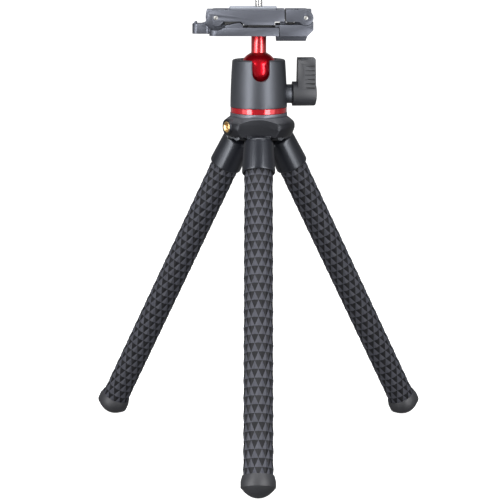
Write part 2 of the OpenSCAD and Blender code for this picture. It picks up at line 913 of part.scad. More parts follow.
// Long arm, which carries the camera plate
module long_arm() {
  head_top = arm_z - long_arm_drop + screw_sink + screw_head_h + move_gap;
  color(slate)
    difference() {
      translate([-long_pin_x, 0, arm_z])
        extrude_y(clamp_depth)
          long_arm_outline();
      translate([-long_pin_x - 20, -cheek_y, arm_z - 20])
        cube([20 + seat_cut_r, 2 * cheek_y, 40]);
      translate([-long_pin_x, 0, arm_z])
        rod_y(clamp_depth + 2, arm_pin_d + 2 * run_fit);
      translate([0, 0, arm_z - 10])
        cylinder(d = screw_neck_d + 2 * run_fit, h = 30);
      translate([0, 0, arm_z - 10])
        cylinder(d = screw_head_d + 2 * move_gap, h = head_top - arm_z + 10);
      translate([0, 0, arm_z - long_arm_drop - 1])
        linear_extrude(1 + grip_rise)
          grip_plan(seat_gap);
    }
}

// Plan of the long arm's grip, grown by a margin
module grip_plan(margin) {
  round_box_2d(-grip_left - margin, -grip_half - margin, grip_right + margin, grip_half + margin, 2);
}

// Rubber grip in the long arm's inner face
module long_arm_grip() {
  color(black)
    translate([0, 0, arm_z - long_arm_drop + grip_rise - grip_t])
      linear_extrude(grip_t)
        difference() {
          grip_plan(0);
          circle(d = screw_head_d + 2 * move_gap + 1);
        }
}

// Hinge pin of the long arm
module long_arm_pin() {
  color(steel)
    translate([-long_pin_x, 0, arm_z])
      rod_y(clamp_depth, arm_pin_d);
}

// Pad that the camera stands on
module top_pad() {
  color(pad_grey)
    translate([0, 0, arm_top_z])
      linear_extrude(pad_t)
        difference() {
          round_box_2d(-pad_left, -pad_w / 2, pad_right, pad_w / 2, 2.5);
          circle(d = pad_hole_d);
        }
}

// Captive camera screw with a thin neck and a coin slot in its head
module camera_screw() {
  head_z = arm_z - long_arm_drop + screw_sink;
  point_h = 0.8;
  slot = 1.6;
  slot_h = 1.5;
  color(steel)
    difference() {
      union() {
        translate([0, 0, head_z])
          cylinder(d = screw_head_d, h = screw_head_h);
        translate([0, 0, head_z])
          cylinder(d = screw_neck_d, h = pad_top_z + screw_rise / 2 - head_z);
        translate([0, 0, pad_top_z])
          cylinder(d = screw_d, h = screw_rise - point_h);
        translate([0, 0, pad_top_z + screw_rise - point_h])
          cylinder(d1 = screw_d, d2 = screw_d - 2 * point_h, h = point_h);
      }
      translate([-screw_head_d, -slot / 2, head_z - 1])
        cube([2 * screw_head_d, slot, slot_h + 1]);
    }
}

// Side outline of the slide block as X and Z from the clamp's underside
module slide_outline() {
  horn = slide_h + 1.8;
  difference() {
    polygon([
      [slide_x, 0],
      [slide_end - slide_corner, 0],
      [slide_end, slide_corner],
      [slide_end, horn],
      [short_pin_x, horn],
      [short_pin_x, slide_h],
      [slide_x, slide_h]
    ]);
    translate([short_pin_x, arm_pin_z])
      circle(short_knuckle_r + move_gap);
  }
}

// Pull lip under the slide, from the clamp's underside, narrower at its bottom and right end
module slide_lip() {
  left = slide_x - 2.9;
  right = slide_end - slide_corner;
  half = clamp_half - 2;
  taper = 1.6;
  join = 1;
  intersection() {
    translate([(left + right) / 2, 0, 0])
      extrude_x(right - left)
        polygon([[-half, -run_fit], [taper - half, -lip_h], [half - taper, -lip_h], [half, -run_fit]]);
    extrude_y(clamp_depth)
      polygon([
        [left - 1, join],
        [right, join],
        [right, -run_fit],
        [right - taper, -lip_h - 1],
        [left - 1, -lip_h - 1]
      ]);
  }
  translate([slide_x + join, join - half, -join])
    cube([right - slide_x - 3 * join, 2 * half - 2 * join, 2 * join]);
}

// Sliding jaw with its lug, the ridge under the long arm's end and the pull lip
module clamp_slide() {
  ridge_left = slide_x + 0.4;
  ridge_right = long_arm_end + arm_gap;
  ridge_half = clamp_half - 6;
  ridge_top = arm_z + arm_high - 1.5 * move_gap;
  foot_left = short_pin_x - short_lug_swing_r;
  color(slate)
    difference() {
      union() {
        translate([0, 0, clamp_z])
          extrude_y(clamp_depth)
            slide_outline();
        translate([short_pin_x - short_lug_left, -lug_w / 2, clamp_z + slide_h - 2])
          cube([short_lug_len, lug_w, arm_top_z - clamp_z - slide_h + 2]);
        translate([foot_left, -lug_w / 2, clamp_z + slide_h - 1])
          cube([short_lug_len / 2, lug_w, ridge_top - clamp_z - slide_h + 1]);
        translate([ridge_left, -ridge_half, clamp_z + slide_h - 1])
          cube([ridge_right - ridge_left, 2 * ridge_half, ridge_top - clamp_z - slide_h + 1]);
        translate([0, 0, clamp_z])
          slide_lip();
      }
      translate([short_pin_x, 0, arm_z])
        rod_y(clamp_depth + 2, arm_pin_d + 2 * run_fit);
      for (side = [-1, 1])
        translate([0, side * rod_gap / 2, rod_z])
          rod_x(slide_x - 1, slide_x + rod_in_slide, rod_d + 2 * run_fit);
    }
}

// Guide rod of the slide, on the side given as -1 for front or 1 for back
module guide_rod(side) {
  color(steel)
    translate([0, side * rod_gap / 2, rod_z])
      rod_x(rod_left, slide_x + rod_in_slide, rod_d);
}

// Short arm on the slide
module short_arm() {
  left = long_arm_end + arm_gap;
  color(slate)
    difference() {
      translate([0, 0, arm_z])
        extrude_y(clamp_depth)
          difference() {
            union() {
              translate([short_pin_x, 0])
                circle(short_knuckle_r);
              polygon([
                [left, -short_arm_drop],
                [short_pin_x, -short_arm_drop],
                [short_pin_x, arm_top],
                [left, arm_top]
              ]);
            }
            translate([left - 1, arm_top])
              square([40, 10]);
          }
      translate([short_pin_x - short_lug_swing_r, -cheek_y, arm_z - 20])
        cube([40, 2 * cheek_y, 40]);
      translate([short_pin_x, 0, arm_z])
        rod_y(clamp_depth + 2, arm_pin_d + 2 * run_fit);
      translate([0, 0, arm_z - short_arm_drop - 1])
        linear_extrude(1 + grip_rise)
          short_grip_plan(seat_gap);
    }
}

// Plan of the short arm's grip, grown by a margin
module short_grip_plan(margin) {
  left = long_arm_end + arm_gap + 1.2;
  right = short_pin_x - short_lug_swing_r - 1;
  round_box_2d(left - margin, -grip_half - margin, right + margin, grip_half + margin, 1.5);
}

// Rubber grip in the short arm's inner face
module short_arm_grip() {
  color(black)
    translate([0, 0, arm_z - short_arm_drop + grip_rise - grip_t])
      linear_extrude(grip_t)
        short_grip_plan(0);
}

// Hinge pin of the short arm
module short_arm_pin() {
  color(steel)
    translate([short_pin_x, 0, arm_z])
      rod_y(clamp_depth, arm_pin_d);
}

// Collar of one leg: knuckle, neck and round socket
module leg_collar(i) {
  lip = 0.8;
  top_r = collar_top_d / 2;
  mouth_r = collar_mouth_d / 2;
  overlap = 3;
  color(collar_grey)
    along_leg(i)
      difference() {
        union() {
          rod_x(-neck_w / 2, neck_w / 2, knuckle_d);
          translate([0, 0, -neck_len - overlap])
            linear_extrude(neck_len + overlap)
              round_box_2d(-neck_w / 2, -neck_t / 2, neck_w / 2, neck_t / 2, neck_corner_r);
          rotate_extrude()
            polygon(concat(
              [[0, -collar_len], [mouth_r - lip / 2, -collar_len], [mouth_r, -collar_len + lip]],
              arc([top_r - shoulder_r, -neck_len - shoulder_r], shoulder_r, 0, 90, 5),
              [[0, -neck_len]]
            ));
        }
        rod_x(-collar_top_d, collar_top_d, hinge_pin_d + 2 * run_fit);
        translate([0, 0, -collar_len - 1])
          cylinder(d = core_d + 2 * run_fit, h = collar_len + 1 - core_socket_s);
        translate([0, 0, -collar_len - 1])
          cylinder(r = sleeve_room_r, h = sleeve_insert + seat_gap + 1);
      }
}

// One stretch of the bendable core, with a round lower end where it bends
module leg_core(i, k) {
  last = len(STRETCHES);
  top = k == 1 ? core_socket_s + seat_gap : bend_s(k - 1) + cup_r;
  bottom = k == last ? core_foot_s : bend_s(k);
  color(core_grey)
    along_leg(i) {
      translate([0, 0, -bottom])
        cylinder(d = core_d, h = bottom - top);
      if (k < last)
        translate([0, 0, -bottom])
          intersection() {
            sphere(d = bend_ball_d);
            translate([0, 0, bend_gap / 2 - bend_ball_d])
              cylinder(d = 2 * bend_ball_d, h = bend_ball_d);
          }
    }
}

// One ring of stud corners: valleys and tips take turns, and swap on each row
function stud_ring(row, s) = [
  for (c = [0 : sleeve_columns - 1])
    let (r = (row + c) % 2 == 0 ? sleeve_d / 2 : stud_tip_r)
      let (a = -90 + c * 360 / sleeve_columns)
        [r * cos(a), r * sin(a), -s]
];

// One ring of the bore, whose flat sides clear the radius r
function bore_ring(r, s) = [
  for (c = [0 : sleeve_columns - 1])
    let (a = -90 + c * 360 / sleeve_columns)
      [r / cos(180 / sleeve_columns) * cos(a), r / cos(180 / sleeve_columns) * sin(a), -s]
];

// Two triangles between neighbouring corners of two rings, split along the valleys
function ring_faces(a, b, row) = [
  for (c = [0 : sleeve_columns - 1])
    let (d = (c + 1) % sleeve_columns)
      let (p = [a + c, a + d, b + d, b + c])
        each (row + c) % 2 == 0
          ? [[p[0], p[1], p[2]], [p[0], p[2], p[3]]]
          : [[p[0], p[1], p[3]], [p[1], p[2], p[3]]]
];

// One stretch of the studded sleeve, with a cup at its upper end below a bend
module leg_sleeve(i, k) {
  cup_steps = 4;
  bore_r = core_d / 2 + seat_gap;
  top = stretch_top(k);
  bottom = top + stretch_len;
  cup_a0 = asin(bend_gap / 2 / cup_r);
  cup_a1 = acos(bore_r / cup_r);
  outside = [for (row = [0 : stud_rows]) stud_ring(row, top + row * stud_pitch)];
  plain = [bore_ring(bore_r, bottom), bore_ring(bore_r, top)];
  cup = [
    for (n = [0 : cup_steps])
      let (a = cup_a1 + (cup_a0 - cup_a1) * n / cup_steps)
        bore_ring(cup_r * cos(a), bend_s(k - 1) + cup_r * sin(a))
  ];
  inside = k == 1 ? plain : concat([plain[0]], cup);
  rings = concat(outside, inside);
  count = len(rings);
  points = [for (ring = rings) each ring];
  faces = [
    for (n = [0 : count - 1])
      each ring_faces(n * sleeve_columns, ((n + 1) % count) * sleeve_columns, n)
  ];
  color(rubber_grey)
    along_leg(i)
      polyhedron(points = points, faces = faces);
}

// Rubber foot of one leg
module leg_foot(i) {
  overlap = 0.5;
  color(foot_grey)
    along_leg(i)
      difference() {
        union() {
          rotate_extrude()
            polygon([
              [0, -foot_start],
              [foot_lip_d / 2, -foot_start],
              [foot_d / 2, -foot_band_start],
              [foot_d / 2, -foot_band_end],
              [0, -foot_band_end]
            ]);
          intersection() {
            translate([0, 0, -foot_dome_s])
              sphere(foot_dome_r);
            translate([0, 0, -foot_tip - 1])
              cylinder(d = 2 * foot_d, h = foot_dome_h + 1 + overlap);
          }
        }
        translate([0, 0, -foot_start - sleeve_insert - seat_gap])
          cylinder(r = stud_tip_r + seat_gap, h = sleeve_insert + seat_gap + 1);
        translate([0, 0, -core_foot_s - seat_gap])
          cylinder(d = core_d + 2 * run_fit, h = core_foot_s - foot_start);
      }
}

hub_body();
accessory_insert();
head_bolt();
pan_base();
accent_ring();
head_housing();
ball_seat();
knob_collar();
lock_knob();
knob_stud();
ball_stem();
stem_screw();
clamp_base();
long_arm();
long_arm_pin();
long_arm_grip();
top_pad();
camera_screw();
clamp_slide();
guide_rod(-1);  // guide_rod_front
guide_rod(1);  // guide_rod_back
short_arm();
short_arm_pin();
short_arm_grip();
for (i = LEGS) {
  leg_pin(i);
  leg_collar(i);
  leg_foot(i);
  for (k = STRETCHES) {
    leg_core(i, k);
    leg_sleeve(i, k);
  }
}
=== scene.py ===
"""Looks of a flexible leg tripod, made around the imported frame: legs, hub, ball head and phone clamp."""

import json
import math

import bmesh
import bpy
from bpy.props import FloatProperty, FloatVectorProperty, IntProperty, PointerProperty
from bpy.types import Operator, Panel, PropertyGroup
from mathutils import Matrix, Vector


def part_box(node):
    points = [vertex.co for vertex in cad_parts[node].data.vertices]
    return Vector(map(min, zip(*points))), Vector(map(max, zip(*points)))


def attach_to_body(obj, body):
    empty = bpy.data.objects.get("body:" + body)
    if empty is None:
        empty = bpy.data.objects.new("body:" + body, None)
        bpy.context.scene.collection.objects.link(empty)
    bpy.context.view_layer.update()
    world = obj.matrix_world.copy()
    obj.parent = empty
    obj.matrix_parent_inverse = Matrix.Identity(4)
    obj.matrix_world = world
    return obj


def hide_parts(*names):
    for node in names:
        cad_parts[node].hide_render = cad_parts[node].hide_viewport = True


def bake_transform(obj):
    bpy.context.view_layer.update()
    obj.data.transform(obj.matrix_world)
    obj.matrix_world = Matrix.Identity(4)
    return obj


bl_info = {
    "name": "Flexible leg tripod",
    "version": (1, 0, 0),
    "blender": (4, 5, 0),
    "location": "3D View > Sidebar > Tripod",
    "description": "Studded legs, ball head and folding phone clamp of a tabletop tripod",
    "category": "Object",
}

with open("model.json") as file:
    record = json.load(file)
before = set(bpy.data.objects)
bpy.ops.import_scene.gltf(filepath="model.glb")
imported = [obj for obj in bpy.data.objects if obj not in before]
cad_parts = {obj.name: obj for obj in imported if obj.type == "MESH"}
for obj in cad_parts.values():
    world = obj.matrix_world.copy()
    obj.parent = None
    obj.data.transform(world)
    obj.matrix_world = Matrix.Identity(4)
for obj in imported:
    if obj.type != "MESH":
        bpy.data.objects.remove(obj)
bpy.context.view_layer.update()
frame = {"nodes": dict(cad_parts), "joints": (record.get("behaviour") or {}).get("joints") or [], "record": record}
RECORD = frame["record"]
NODES = frame["nodes"]
BODY_OF = {node: body for body, nodes in RECORD["behaviour"]["bodies"].items() for node in nodes}
SLOT_OF = {part["node"]: part["material_slot"] for part in RECORD["subparts"]}
JOINTS = {joint["name"]: joint for joint in frame["joints"]}
LEGS = (1, 2, 3)
MM = 0.001
WELD = 0.002 * MM  # corners of a built solid that lie closer than this are one corner
SEAM = 0.01 * MM  # corners of a sleeve that lie closer than this are one corner
FLAT = math.radians(0.6)  # faces of a built solid that turn less than this are one face
CREASE = math.radians(35.0)  # edges of a turned piece that turn more than this stay sharp
STEM_RISE = 3.5 * MM  # height above the housing from which the ball's stem has its own colour
CLOUDING = 0.22  # how far the colour of a metal or plastic skin varies
DUST = 0.20  # how far the colour of rubber varies


def length(name, description, mm):
    """A length that a user can change, given in millimetres."""
    return FloatProperty(name=name, description=description, default=mm * MM, unit="LENGTH", precision=5)


def whole(name, description, value):
    """A whole number that a user can change."""
    return IntProperty(name=name, description=description, default=value, min=1)


def share(name, description, value):
    """A share from 0 to 1 that a user can change."""
    return FloatProperty(
        name=name, description=description, default=value, subtype="FACTOR", min=0.0, max=1.0
    )


def degrees(name, description, value):
    """An angle that a user can change, given in degrees."""
    return FloatProperty(name=name, description=description, default=math.radians(value), subtype="ANGLE")


def watts(name, description, value):
    """The power of a light that a user can change."""
    return FloatProperty(name=name, description=description, default=value, unit="POWER")


def tint(name, description, colour):
    """A colour that a user can change."""
    return FloatVectorProperty(
        name=name, description=description, default=colour, size=3, subtype="COLOR", min=0.0, max=1.0
    )


class SleeveSizes(PropertyGroup):
    """Sizes of the studded sleeves on the legs."""

    columns: whole("Columns", "Stud corners round the sleeve, two for each stud", 24)
    rows: whole("Rows", "Rows of studs from the collar to the foot", 36)
    pitch: length("Row height", "Height of one row of studs along the leg", 6.757)
    valley: length("Valley radius", "Radius of the sleeve between the studs", 10.95)
    stud: length("Stud height", "Height of a stud's tip above the valleys", 0.65)
    bore: length("Bore radius", "Radius of the sleeve's inside", 9.7)
    start: length("Start", "Distance of the sleeve's upper end from the leg hinge", 30.0)
    bend: length("Bend half length", "Half of the stretch over which one bend is spread", 27.8)


class EdgeSizes(PropertyGroup):
    """Widths of the rounded edges, and the reach of the painted top light on the hub."""

    hub: length("Hub", "Edge round of the hub", 0.5)
    # the hub's upward faces are painted lighter within this radius: painted top light
    hub_painted_top: length("Hub top", "Radius up to which the hub's upper faces are lighter", 29.0)
    hub_fade: length("Hub fade", "Width over which the lighter colour ends", 4.0)
    head: length("Head", "Edge round of the ball head", 0.35)
    knob: length("Knob", "Edge round of the lock knob", 0.6)
    clamp: length("Clamp", "Edge round of the phone clamp", 0.45)
    collar: length("Collar", "Edge round of the leg collars", 0.6)
    foot: length("Foot", "Edge round of the feet", 0.5)
    pin: length("Pin", "Edge round of the pins", 0.3)


class LegWidths(PropertyGroup):
    """How much wider than the built solids the ends of the legs are made."""

    collar: share("Collar", "Share added to the width of a collar's mouth", 0.07)
    neck: length("Neck", "Distance from the hinge where a collar starts to widen", 9.0)
    mouth: length("Mouth", "Distance from the hinge where a collar has its full width", 22.0)
    foot: share("Foot", "Share added to the width of a foot's band", 0.09)
    band: length("Band", "Radius of a foot's band", 12.25)


class LinerSizes(PropertyGroup):
    """Sizes of the black strips that stand for the shade in the slits of the phone clamp, and of the slide's lip.
    """

    strip: length("Strip", "Thickness of the strip at the short arm's free end", 0.55)
    strip_drop: length("Strip drop", "How far the strip reaches below the short arm's pin", 2.6)
    strip_edge: length("Strip edge", "Edge round of the strip", 0.2)
    inset: length("Inset", "Distance of the strip from the arm's sides", 0.6)
    start: length("Liner start", "Distance of the long arm's liner from its pin", 6.9)
    end: length("Liner end", "Distance of the liner's far end from the pin", 18.8)
    side: length("Liner side", "Distance of the liner from the arm's front", 1.4)
    liner_width: length("Liner width", "Width of the liner across the arm", 4.0)
    liner_drop: length("Liner drop", "How far the liner's near end reaches below the pin", 5.7)
    liner_end_drop: length("Liner end drop", "How far the liner's far end reaches below the pin", 3.2)
    liner_top: length("Liner top", "How far the liner's top lies below the pin", 2.0)
    liner_edge: length("Liner edge", "Edge bevel of the liner", 0.15)
    lip: length("Lip", "How far the slide's lip reaches over the base", 2.9)
    lip_join: length("Lip join", "How far the slide's lip reaches into the slide", 0.8)
    lip_low: length("Lip underside", "Height of the lip's underside above the clamp's underside", 7.0)
    lip_top: length("Lip top", "Height of the lip's top above the clamp's underside", 8.75)
    lip_edge: length("Lip edge", "Edge round of the lip", 0.25)


class GrooveSizes(PropertyGroup):
    """Sizes of the grip grooves on the lock knob, along which shade is painted."""

    count: whole("Count", "Number of grooves", 6)
    first: length("First groove", "Distance of the first groove below the top of the wing", 7.0)
    end: length("End", "Distance of the grooves from the knob's outer end", 1.3)
    reach: length("Length", "Length of a groove", 9.5)
    pitch: length("Pitch", "Distance from one groove to the next", 3.4)
    width: length("Half width", "Half of a groove's width at its outer end", 0.75)
    soft: length("Soft edge", "Width over which a groove's edge fades", 0.35)


class ThreadSizes(PropertyGroup):
    """Sizes of the quarter inch threads and the camera screw."""

    pitch: length("Pitch", "Rise of the thread in one turn", 1.27)
    outside: length("Outside radius", "Radius of the camera screw over its thread", 3.175)
    core: length("Core radius", "Radius of the camera screw under its thread", 2.55)
    socket: length("Socket radius", "Radius of the accessory insert's bore outside its thread", 3.2)
    overlap: length("Overlap", "How far a thread's ridge is sunk into what carries it", 0.02)
    head: length("Screw head", "Height of the camera screw's head", 3.0)
    recess: length("Recess", "Depth of the recess in the screw's head", 1.5)
    recess_width: share("Recess width", "Width of the recess as a share of the head's", 0.35)
    shank: length("Shank", "Radius of the plain shank under the thread", 2.5)
    neck: length("Neck", "Depth under the pad where the shank starts to widen", 0.6)
    neck_end: length("Neck end", "Depth under the pad where the shank has the core's radius", 0.1)
    screw_start: length("Screw thread start", "Height above the pad where the thread starts", 0.6)
    screw_end: length("Screw thread end", "Distance of the thread's end from the screw's tip", 0.9)
    screw_ridge: share("Screw ridge", "Height of the screw's ridge as a share of the pitch", 0.95)
    bevel: length("Screw edge", "Edge bevel of the screw's head", 0.4)
    point: length("Point", "Bevel at the tip of the screw", 0.7)
    lip: length("Insert edge", "Edge bevel of the accessory insert", 0.5)
    mouth: length("Insert mouth", "Bevel at the mouth of the insert's bore", 0.8)
    insert_start: length("Insert thread start", "Distance of the thread from the bore's floor", 0.4)
    insert_end: length("Insert thread end", "Distance of the thread from the insert's face", 1.2)
    insert_ridge: share("Insert ridge", "Height of the insert's ridge as a share of the pitch", 0.9)


class FinishColours(PropertyGroup):
    """Colours of the finishes."""

    hub: tint("Hub", "Satin black of the hub", (0.0100, 0.0102, 0.0135))
    # painted top light: the hub's upward faces are painted in this lighter grey
    hub_painted_top: tint("Hub top", "Lighter grey of the hub's upper faces", (0.075, 0.079, 0.090))
    # painted top light: the disc under the ring is painted lighter for the light it catches from above
    pan_base: tint("Pan base", "Lighter grey of the disc under the ring", (0.130, 0.137, 0.158))
    housing: tint("Housing", "Fine satin grey of the ball head", (0.067, 0.071, 0.083))
    clamp: tint("Clamp", "Satin slate of the phone clamp", (0.100, 0.106, 0.128))
    collar: tint("Collar", "Satin dark grey of the leg collars", (0.0130, 0.0145, 0.0205))
    red: tint("Red", "Polished red of the ball and the ring", (0.700, 0.002, 0.014))
    stem: tint("Stem", "Paler red of the ball's stem", (0.740, 0.030, 0.036))
    steel: tint("Steel", "Bright steel of pins and screws", (0.720, 0.710, 0.690))
    brass: tint("Brass", "Brass of the accessory insert", (0.780, 0.560, 0.270))
    knob: tint("Knob", "Dark plastic of the lock knob", (0.035, 0.037, 0.045))
    sleeve: tint("Sleeve", "Rubber of the leg sleeves", (0.0118, 0.0122, 0.0152))
    foot: tint("Foot", "Rubber of the feet", (0.032, 0.033, 0.039))
    pad: tint("Pad", "Light rubber of the top pad", (0.270, 0.290, 0.335))
    black: tint("Black", "Black rubber and plastic inside", (0.014, 0.014, 0.015))


class StageSettings(PropertyGroup):
    """Camera, lights and floor."""

    distance: length("Camera distance", "Distance of the camera in front of the column", 1303.0)
    height: length("Camera height", "Height of the camera above the floor", 416.9)
    pitch: degrees("Pitch", "Angle of the camera below level", 11.157)
    yaw: degrees("Yaw", "Angle of the camera to the left", 0.306)
    lens: FloatProperty(
        name="Lens", description="Focal length on a 36 mm sensor", default=117.1, unit="CAMERA"
    )
    floor: length("Floor", "Radius of the floor and of the backdrop round it", 20000.0)
    glow: FloatProperty(name="Glow", description="Brightness of the floor and the backdrop", default=1.1)
    sky: FloatProperty(name="Sky", description="Strength of the even light from all round", default=0.27)
    left: watts("Left light", "Power of the left strip light", 20.0)
    right: watts("Right light", "Power of the right strip light", 20.0)
    wide: watts("Side lights", "Power of the weak outer softboxes", 6.0)
    top: watts("Top light", "Power of the overhead softbox", 26.0)
    fill: watts("Fill light", "Power of the dull front light", 9.0)


class TripodSettings(PropertyGroup):
    """All that a user can change on the tripod."""

    sleeve: PointerProperty(type=SleeveSizes)
    edge: PointerProperty(type=EdgeSizes)
    leg: PointerProperty(type=LegWidths)
    groove: PointerProperty(type=GrooveSizes)
    thread: PointerProperty(type=ThreadSizes)
    liner: PointerProperty(type=LinerSizes)
    colour: PointerProperty(type=FinishColours)
    stage: PointerProperty(type=StageSettings)


class Wire:
    """A socket that takes part in Python expressions, each of which adds its Math node."""

    def __init__(self, tree, socket):
        self.tree = tree
        self.socket = socket

    def math(self, operation, first, second):
        return self.tree.add("ShaderNodeMath", {"operation": operation}, {0: first, 1: second})

    def __add__(self, other):
        return self.math("ADD", self, other)

    __radd__ = __add__

    def __sub__(self, other):
        return self.math("SUBTRACT", self, other)

    def __rsub__(self, other):
        return self.math("SUBTRACT", other, self)

    def __mul__(self, other):
        return self.math("MULTIPLY", self, other)

    __rmul__ = __mul__

    def __truediv__(self, other):
        return self.math("DIVIDE", self, other)

    def __mod__(self, other):
        return self.math("FLOORED_MODULO", self, other)

    def __gt__(self, other):
        return self.math("GREATER_THAN", self, other)

    def __lt__(self, other):
        return self.math("LESS_THAN", self, other)

    def __abs__(self):
        return self.math("ABSOLUTE", self, 0.0)

    def rounded(self):
        return self.math("ROUND", self, 0.0)

    def at_least(self, other):
        return self.math("MAXIMUM", self, other)

    def at_most(self, other):
        return self.math("MINIMUM", self, other)


class Tree:
    """A node tree that is filled by one method."""

    def __init__(self, tree):
        self.tree = tree

    def add(self, kind, settings=None, inputs=None, output=0):
        """Adds a node, sets it up, joins its inputs and gives back one output."""
        node = self.tree.nodes.new(kind)
        for key, value in (settings or {}).items():
            setattr(node, key, value)
        for key, value in (inputs or {}).items():
            if isinstance(value, Wire):
                self.tree.links.new(value.socket, node.inputs[key])
            else:
                node.inputs[key].default_value = value
        return Wire(self, node.outputs[output]) if len(node.outputs) else node

    def part(self, vector, axis):
        """One coordinate of a vector."""
        return self.add("ShaderNodeSeparateXYZ", None, {0: vector}, output=axis)


class Finish(Tree):
    """A material under construction, with Object coordinates at hand."""

    def __init__(self, name):
        self.material = bpy.data.materials.new(name)
        self.material.use_nodes = True
        self.material.node_tree.nodes.clear()
        super().__init__(self.material.node_tree)
        self.place = self.add("ShaderNodeTexCoord", output="Object")

    def along(self, axis):
        """The Object coordinate along one axis."""
        return self.part(self.place, axis)

    def noise(self, scale, detail=3.0, roughness=0.55):
        """Grey noise whose grains are about one over the scale in metres."""
        return self.add(
            "ShaderNodeTexNoise",
            None,
            {"Vector": self.place, "Scale": scale, "Detail": detail, "Roughness": roughness},
        )

    def mottled(self, grain, detail=3.0, roughness=0.55, cloud=60.0, cloud_detail=2.0, part=0.5):
        """Fine grain, and a mask in which it has one part and wide clouds the rest."""
        fine = self.noise(grain, detail, roughness)
        return fine, fine * part + self.noise(cloud, cloud_detail) * (1 - part)

    def pebbled(self, grain):
        """The same for moulded rubber, whose grain is rougher and whose clouds are wider."""
        return self.mottled(grain, detail=4.0, roughness=0.6, cloud=45.0, cloud_detail=3.0, part=0.45)

    def shade(self, colour, amount, mask):
        """The colour, made darker and lighter by the amount as the mask goes from 0 to 1."""
        dark = [c * (1 - amount) for c in colour] + [1.0]
        light = [min(1.0, c * (1 + amount)) for c in colour] + [1.0]
        return self.blend(mask, dark, light)

    def blend(self, mask, first, second):
        """The first colour where the mask is 0, the second where it is 1."""
        inputs = {"Factor": mask, "A": first, "B": second}
        return self.add("ShaderNodeMix", {"data_type": "RGBA"}, inputs, output=2)

    def uneven(self, roughness, spread, mask):
        """The roughness, made smoother and rougher by the spread as the mask goes from 0 to 1."""
        return mask * (2 * spread) + (roughness - spread)

    def marked(self, name):
        """A value that the mesh carries under a name."""
        return self.add("ShaderNodeAttribute", {"attribute_name": name}, output="Fac")

    def bump(self, height, distance, strength):
        """A normal roughened by a height map."""
        return self.add(
            "ShaderNodeBump", None, {"Height": height, "Distance": distance, "Strength": strength}
        )

    def surface(self, **inputs):
        """Ends the material in one Principled shader."""
        named = {key.replace("_", " "): value for key, value in inputs.items()}
        shader = self.add("ShaderNodeBsdfPrincipled", None, named)
        self.add("ShaderNodeOutputMaterial", None, {"Surface": shader})
        return self.material


def satin(name, colour, roughness, grain, depth, metallic=0.0, gloss=0.5, second=None, where=None):
    """Blasted and coated metal or plastic, in a second colour where that is asked for, which paints top light on
    the hub and the pan base.
    """
    f = Finish(name)
    fine, mask = f.mottled(grain)
    skin = f.shade(colour, CLOUDING, mask)
    if second:
        skin = f.blend(where(f), skin, f.shade(second, CLOUDING, mask))
    return f.surface(
        Base_Color=skin,
        Metallic=metallic,
        Roughness=f.uneven(roughness, 0.06, mask),
        Specular_IOR_Level=gloss,
        Specular_Tint=(0.88, 0.92, 1.0, 1.0),
        Normal=f.bump(fine, depth, strength=0.35),
    )


def polished(name, colour, stem_colour, ring_top, ball_top):
    """Turned metal under a clear red skin: a mirror on the ring, softer on the ball, brighter on the stem."""
    ring_roughness, ball_roughness, wear = 0.12, 0.24, 0.03
    ring_metal, ball_metal = 0.35, 0.80
    ring_coat, ball_coat, stem_coat = 1.0, 0.4, 1.0
    f = Finish(name)
    cloud = f.noise(90.0, 2.0)
    turning = f.add(
        "ShaderNodeTexWave",
        {"bands_direction": "Z"},
        {"Vector": f.place, "Scale": 900.0, "Distortion": 0.6, "Detail": 2.0},
        output="Fac",
    )
    above = f.along("Z") > ring_top
    stem = f.along("Z") > ball_top
    return f.surface(
        Base_Color=f.blend(stem, f.shade(colour, 0.06, cloud), f.shade(stem_colour, 0.06, cloud)),
        Metallic=ring_metal + above * (ball_metal - ring_metal),
        Specular_IOR_Level=0.1,
        Roughness=ring_roughness + above * (ball_roughness - ring_roughness) + turning * wear + cloud * wear,
        Coat_Weight=ring_coat + above * (ball_coat - ring_coat) + stem * (stem_coat - ball_coat),
        Coat_Roughness=0.09,
        Coat_IOR=1.58,
        Normal=f.bump(turning, distance=0.002 * MM, strength=0.2),
    )


def brushed(name, colour, roughness, shine_from):
    """Bright metal with fine scratches, fully polished above a height and duller below it."""
    f = Finish(name)
    scratch = f.add(
        "ShaderNodeTexNoise",
        None,
        {
            "Vector": f.add(
                "ShaderNodeVectorMath", {"operation": "MULTIPLY"}, {0: f.place, 1: (300.0, 300.0, 6000.0)}
            ),
            "Scale": 1.0,
            "Detail": 2.0,
        },
    )
    polish = f.along("Z") > shine_from
    smoother = 0.12
    dull_metal = 0.7
    dull = [c * 0.55 for c in colour]
    return f.surface(
        Base_Color=f.blend(polish, f.shade(dull, 0.10, scratch), f.shade(colour, 0.10, scratch)),
        Metallic=dull_metal + polish * (1 - dull_metal),
        Roughness=roughness - polish * smoother - 0.05 + scratch * 0.14,
        Normal=f.bump(scratch, distance=0.006 * MM, strength=0.3),
    )


def rubber(name, colour, roughness, grain):
    """Moulded rubber: dull, finely pebbled, with a little dust in the colour."""
    f = Finish(name)
    pebble, mask = f.pebbled(grain)
    return f.surface(
        Base_Color=f.shade(colour, DUST, mask),
        Roughness=f.uneven(roughness, 0.05, mask),
        Specular_IOR_Level=0.45,
        Normal=f.bump(pebble, distance=0.04 * MM, strength=0.4),
    )


